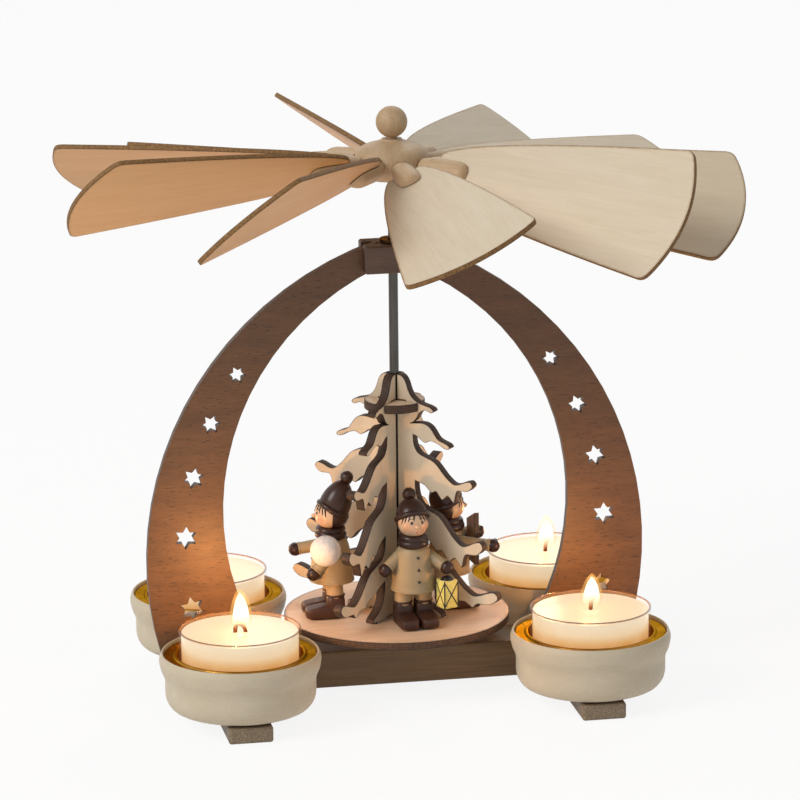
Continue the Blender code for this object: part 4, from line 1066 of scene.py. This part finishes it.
def make_wheel():
    """Hub, finial ball, split pegs and blades."""
    centre = Matrix.Translation((0, 0, WHEEL_HEIGHT))
    lying = spin(90, "Y")
    bore = PEG_SHANK_RADIUS + 0.15
    inner, outer = PEG_START - GAP, HUB_RADIUS + 4.2
    hub = bmesh.new()
    add_lathe(hub, hub_profile())
    bores = bmesh.new()
    ways = []
    for azimuth, (_, rise, pitch) in zip(BLADE_AZIMUTHS, BLADE_SETTINGS):
        ways.append(Euler([math.radians(angle) for angle in (pitch, -rise, azimuth)]).to_matrix().to_4x4())
        add_lathe(bores, [(0, inner), (bore, inner), (bore, outer), (0, outer)], 0, 20, ways[-1] @ lying)
    piece("hub", cut(hub, bores), ["hub"], "rotor", "blade_hub", centre)
    turned_piece("ball", ball_profile(), "hub", "rotor", "finial_ball", centre)
    split = (2 * (PEG_END - BLADE_ROOT), 4 * PEG_RADIUS, BLADE_THICKNESS + 2 * GAP)
    for number, way in enumerate(ways, 1):
        body = f"blade_{number:02d}"
        place = centre @ way
        peg = bmesh.new()
        add_lathe(peg, peg_profile(), sides=32, matrix=lying)
        slot = bmesh.new()
        add_box(slot, split, (BLADE_ROOT - GAP + split[0] / 2, 0, 0), bevel=0.02)
        label = f"peg_{number:02d}"
        piece(label, cut(peg, slot), ["peg"], body, f"blade_{label}", place)
        blade = bmesh.new()
        add_slab(blade, blade_outline(), BLADE_THICKNESS, browning=0.7)
        piece(f"vane_{number:02d}", blade, ["blade", "blade_edge"], body, body, place)


DOLL_LOOKS = ["coat", "skin", "dark", "black", "nose", "boot", "trouser"]
COAT, SKIN, DARK, BLACK, NOSE, BOOT, TROUSER = range(7)


def child_place(name):
    azimuth, stand, facing = CHILDREN[name]
    spot = spin(azimuth) @ Vector((stand, 0, TREE_BASE))
    return Matrix.Translation(spot) @ spin(facing)


def on_face(turn, lift, out=0.0):
    """A place on the doll's face, by degrees to the left and up."""
    turn, lift = math.radians(turn), math.radians(lift)
    way = Vector((math.cos(turn) * math.cos(lift), math.sin(turn) * math.cos(lift), math.sin(lift)))
    return Vector((HEAD_FORWARD, 0, HEAD)) + (HEAD_RADIUS + out) * way


def add_legs(bm):
    """Trousers in blocky boots whose toes slope down."""
    for side in (1, -1):
        across = side * LEG_SPREAD
        known = set(bm.verts)
        add_blob(bm, (3.0, across, 2.3), (6.3, 3.05, 2.3), BOOT, 0.36, 32)
        for vert in set(bm.verts) - known:
            vert.co.z *= 1 - 0.28 * max(vert.co.x - 1, 0) / 8.3
        add_blob(bm, (-0.5, across, 4.2), (2.95, 2.95, 3.4), BOOT, 0.5, 24)
        ring = [(LEG_RADIUS * math.cos(t), LEG_RADIUS * math.sin(t)) for t in turns(24)]
        add_tube(bm, [(x - 0.5, across + y, 7.3) for x, y in ring], CUFF_RADIUS, BOOT, 8, closed=True)
        leg = [(-0.4, across, 6.6), (-0.3, across, 9.0), (0, 0.94 * across, HEM + 1.0)]
        add_tube(bm, curve(leg, 1), LEG_RADIUS, TROUSER, 20)


def add_coat(bm):
    """Coat that widens down to a thick hem, with three buttons."""
    length = SHOULDER - HEM
    hem = ((0.6, 0), (0, 0.2), (0, 0.9), (0.25, 1.2), (0.35, 0.25 * length))
    body = ((6.4, 0.5), (5.9, 0.7), (5.3, 0.86), (4.3, 0.96))
    coat = [(COAT_RADIUS - less, HEM + rise) for less, rise in hem]
    coat += [(radius, HEM + share * length) for radius, share in body] + [(3.0, SHOULDER)]
    add_lathe(bm, [(0, HEM)] + curve(coat, 1) + [(0, SHOULDER + 0.2)], COAT, 48)
    for height, radius in ((22.9, 5.8), (19.0, 6.4), (15.2, 6.85)):
        add_blob(bm, (radius, 0, height), (0.35, 0.5, 0.5), BLACK, 1.0, 14)


def add_arm(bm, hand, side):
    """Sleeve with a rolled cuff, and a mitten with its thumb."""
    shoulder = Vector((-0.4, side * 3.9, SHOULDER - 3.4))
    wrist = hand + (shoulder - hand).normalized() * 1.3
    bow = shoulder.lerp(wrist, 0.5) + Vector((0, side * 0.15, -0.1))
    add_tube(bm, curve([shoulder, bow, wrist]), [2.15 - 0.03 * k for k in range(9)], COAT, 18)
    along = (wrist - shoulder).normalized()
    first = along.cross(UP).normalized()
    second = along.cross(first)
    cuff = [wrist - 0.1 * along + 1.75 * (first * math.cos(t) + second * math.sin(t)) for t in turns(20)]
    add_tube(bm, cuff, CUFF_RADIUS, COAT, 8, closed=True)
    add_blob(bm, hand, (2.2, 2.2, 2.2), DARK, 1.0, 20, 0.05)
    thumb = hand + 0.8 * along + Vector((0.2, -side * 1.1, 1.2))
    add_blob(bm, thumb, (0.85, 0.85, 1.0), DARK, 1.0, 12)


def add_head(bm):
    """Head with its face and hair, in a thick scarf."""
    blush = bm.verts.layers.float.new("blush")
    known = set(bm.verts)
    add_blob(bm, (HEAD_FORWARD, 0, HEAD), (HEAD_RADIUS,) * 3, SKIN, 1.0, 48)
    cheeks = [on_face(side * 38, -12) for side in (1, -1)]
    for vert in set(bm.verts) - known:
        reach = min((vert.co - cheek).length for cheek in cheeks)
        vert[blush] = 0.55 * math.exp(-((reach / 1.7) ** 2))
    add_blob(bm, on_face(0, -3, 0.25), (0.95, 0.75, 0.7), SKIN, 1.0, 16)
    add_blob(bm, on_face(0, -24, -0.1), (0.3, 0.42, 0.38), NOSE, 1.0, 12)
    for side in (1, -1):
        add_blob(bm, on_face(side * 21, 11, -0.15), (0.4, 0.5, 0.56), BLACK, 1.0, 14)
        brow = [on_face(side * turn, lift, -0.05) for turn, lift in ((13, 25), (21, 28), (30, 24))]
        add_tube(bm, curve(brow, 1), 0.14, BLACK, 6)
    for turn, low in ((-60, 2), (-47, 9), (-33, 15), (-12, 20), (17, 19), (34, 14), (49, 7), (62, 0)):
        path = ((0.92, 42), (1.0, 0.5 * (42 + low)), (1.06, low))
        strand = [on_face(turn * spread, lift, -0.02) for spread, lift in path]
        add_tube(bm, curve(strand, 1), [0.34, 0.32, 0.28, 0.22, 0.12], DARK, 6)
    add_blob(bm, (-1.1, 0, HEAD - 0.1), (4.6, 5.15, 5.0), DARK, 1.0, 40)
    for height, radius, thick in ((SHOULDER + 0.5, 3.6, 1.45), (SHOULDER + 2.2, 3.35, 1.3)):
        roll = []
        for t in turns(36):
            sag = 0.25 * math.sin(t + height) + 0.12 * math.sin(3 * t)
            roll.append(((radius + 0.15) * math.cos(t) + 0.2, radius * math.sin(t), height + sag))
        add_tube(bm, roll, thick, DARK, 14, closed=True)


def add_hat(bm, height):
    """Knitted hat tilted back, with a rolled brim that rises over the forehead and a bobble."""
    tilt = Matrix.Translation((0, 0, HEAD)) @ spin(-HAT_TILT, "Y")
    shares = ((5.1, 0.26), (5.05, 0.38), (4.65, 0.55), (3.85, 0.73), (2.75, 0.88), (1.5, 0.97))
    crown = curve([(radius, share * height) for radius, share in shares], 1)
    add_lathe(bm, [(0, 1.6), (4.9, 1.6)] + crown + [(0, height)], DARK, 40, tilt)
    brim = []
    for t in turns(40):
        rise = 1.5 + 0.6 * math.cos(t) + 0.15 * math.sin(2 * t)
        brim.append(tilt @ Vector((4.85 * math.cos(t), 4.85 * math.sin(t), rise)))
    add_tube(bm, brim, 0.95, DARK, 12, closed=True)
    add_blob(bm, tilt @ Vector((0, 0, height + 1.25)), (2.15, 2.15, 2.05), DARK, 1.0, 24, 0.12)


def make_children():
    """The three dolls and what they carry."""
    for name, hands in HANDS.items():
        bm = bmesh.new()
        add_legs(bm)
        add_coat(bm)
        for hand, side in zip(hands, (1, -1)):
            add_arm(bm, hand, side)
        add_head(bm)
        add_hat(bm, HATS[name])
        piece(f"doll_{name}", bm, DOLL_LOOKS, "rotor", name, child_place(name))

    hand = HANDS["lantern_child"][0]
    make_lantern(Vector((hand.x, hand.y, hand.z - 2.5)))
    bm = bmesh.new()
    add_blob(bm, SNOWBALL, (SNOWBALL_RADIUS,) * 3, 0, 1.0, 56, 0.03)
    piece("snowball_round", bm, ["snow"], "rotor", "snowball", child_place("snowball_child"))
    make_sled()


def make_lantern(top):
    """Square paper lantern with crossed lines on its panes and a cap up to the glove."""
    half = LANTERN_WIDTH / 2
    high = top.z - 1.4
    low = high - LANTERN_HEIGHT
    middle = Matrix.Translation((top.x, top.y, 0))
    turn = middle @ spin(LANTERN_TURN)
    bm = bmesh.new()
    width = LANTERN_WIDTH - 0.3
    add_box(bm, (width, width, LANTERN_HEIGHT), (0, 0, (low + high) / 2), 0, turn)
    for side in range(4):
        face = turn @ spin(90 * side)
        for way in (-1, 1):
            ends = ((way * half, low + 0.2), (-way * half, high - 0.2))
            add_tube(bm, [face @ Vector((half - 0.12, across, height)) for across, height in ends], 0.2, 1, 6)
        post = face @ Vector((half - 0.2, half - 0.2, 0))
        add_tube(bm, [(post.x, post.y, low + 0.2), (post.x, post.y, high - 0.1)], 0.24, 1, 8)
    brim = [(0, high - 0.3), (2.3, high - 0.3, 0.2), (2.2, high + 0.1, 0.2)]
    add_lathe(bm, eased(brim + [(0.9, top.z - 0.2, 0.3), (0, top.z - 0.1)]), 1, 24, middle)
    place = child_place("lantern_child")
    piece("lantern_box", bm, ["pane", "black"], "rotor", "lantern", place)


def make_sled():
    """Sled held upright: a thin seat with a runner along each side, all under a slanted top."""
    bm = bmesh.new()
    half = SLED_WIDTH / 2
    strips = (
        (-half, half, SLED_BACK, SLED_SEAT),
        (-half, SLED_RUNNER_WIDTH - half, SLED_BACK + SLED_SEAT, SLED_RUNNER_DEPTH),
        (half - SLED_RUNNER_WIDTH, half, SLED_BACK + SLED_SEAT, SLED_RUNNER_DEPTH),
    )
    upright = Matrix(((0, 0, 1), (1, 0, 0), (0, 1, 0))).to_4x4()
    for start, end, back, thickness in strips:
        tops = [SLED_BASE + SLED_LENGTH - SLED_SLANT * (across / SLED_WIDTH + 0.5) for across in (end, start)]
        corners = ((start, SLED_BASE, 0.3), (end, SLED_BASE, 0.3), (end, tops[0], 0.4), (start, tops[1], 0.4))
        known = set(bm.verts)
        add_slab(bm, eased(corners), thickness, bevel=0.12, browning=0.3)
        move = Matrix.Translation((back + thickness / 2, 0, 0)) @ upright
        bmesh.ops.transform(bm, matrix=move, verts=list(set(bm.verts) - known))
    piece("sled_upright", bm, ["sled", "sled_edge"], "rotor", "sled", child_place("sled_child"))


def make_stage():
    """White floor that keeps a soft shadow, the camera, the lamps and the world."""
    bm = bmesh.new()
    bmesh.ops.create_grid(bm, x_segments=1, y_segments=1, size=FLOOR_HALF)
    mesh = bpy.data.meshes.new("floor")
    bm.to_mesh(mesh)
    bm.free()
    floor = put("floor", mesh)
    look = Look("floor_white", 1.0, Specular_IOR_Level=0.0, Base_Color=(1, 1, 1, 1))
    white = look.add("Emission", Color=(1, 1, 1, 1), Strength=1.0).outputs[0]
    mixed = look.add("MixShader", Fac=look.calc("MULTIPLY", background_rays(look.tree), FLOOR_WHITE))
    look.feed(mixed.inputs[1], look.shader.outputs[0])
    look.feed(mixed.inputs[2], white)
    look.fill(look.tree.nodes["Material Output"], Surface=mixed.outputs[0])
    mesh.materials.append(look.material)
    add_camera()
    for name, settings in LAMPS.items():
        add_area(name, *settings)
    add_world()


def add_camera():
    """Camera that looks back from the target by azimuth and elevation, then rolls."""
    azimuth, elevation, roll = (math.radians(a) for a in (VIEW_AZIMUTH, VIEW_ELEVATION, VIEW_ROLL))
    level = Vector((math.sin(azimuth), -math.cos(azimuth), 0))
    back = math.cos(elevation) * level + math.sin(elevation) * UP
    right = (-back).cross(UP).normalized()
    over = right.cross(-back)
    rolled_right = math.cos(roll) * right + math.sin(roll) * over
    rolled_over = math.cos(roll) * over - math.sin(roll) * right
    lens = bpy.data.cameras.new("camera")
    lens.lens = VIEW_LENS
    lens.sensor_width = 36
    lens.shift_x, lens.shift_y = VIEW_SHIFT
    lens.clip_end = 50
    camera = put("camera", lens)
    turn = Matrix((rolled_right, rolled_over, back)).transposed().to_4x4()
    camera.matrix_world = Matrix.Translation((VIEW_TARGET + back * VIEW_DISTANCE) * MM) @ turn
    bpy.context.scene.camera = camera


def add_area(name, place, size, power, colour):
    """A soft square lamp that looks at the middle of the object."""
    lamp = bpy.data.lights.new(name, "AREA")
    lamp.size = size
    lamp.energy = power
    lamp.color = colour
    light = put(name, lamp)
    light.location = place
    light.rotation_euler = (LAMP_AIM - Vector(place)).to_track_quat("-Z", "Y").to_euler()


def background_rays(tree):
    """The rays that see floor and world as plain white: straight, mirrored or through glass."""
    rays = tree.nodes.new("ShaderNodeLightPath").outputs
    seen = rays["Is Camera Ray"]
    for kind in ("Is Glossy Ray", "Is Transmission Ray"):
        either = tree.nodes.new("ShaderNodeMath")
        either.operation = "MAXIMUM"
        tree.links.new(seen, either.inputs[0])
        tree.links.new(rays[kind], either.inputs[1])
        seen = either.outputs[0]
    return seen


def add_world():
    """Even studio light. The camera sees it as plain white, also mirrored and through glass."""
    world = bpy.data.worlds.new("studio")
    bpy.context.scene.world = world
    world.use_nodes = True
    nodes, links = world.node_tree.nodes, world.node_tree.links
    nodes.clear()
    seen = background_rays(world.node_tree)
    backgrounds = []
    for strength in (WORLD_STRENGTH, 1.0):
        background = nodes.new("ShaderNodeBackground")
        background.inputs["Color"].default_value = (1, 1, 1, 1)
        background.inputs["Strength"].default_value = strength
        backgrounds.append(background)
    mixed = nodes.new("ShaderNodeMixShader")
    links.new(seen, mixed.inputs[0])
    for background, socket in zip(backgrounds, mixed.inputs[1:]):
        links.new(background.outputs[0], socket)
    links.new(mixed.outputs[0], nodes.new("ShaderNodeOutputWorld").inputs["Surface"])


bpy.context.scene.view_settings.view_transform = "Standard"
dress_frame()
make_candles()
make_tree()
make_wheel()
make_children()
make_stage()

bpy.context.view_layer.update()
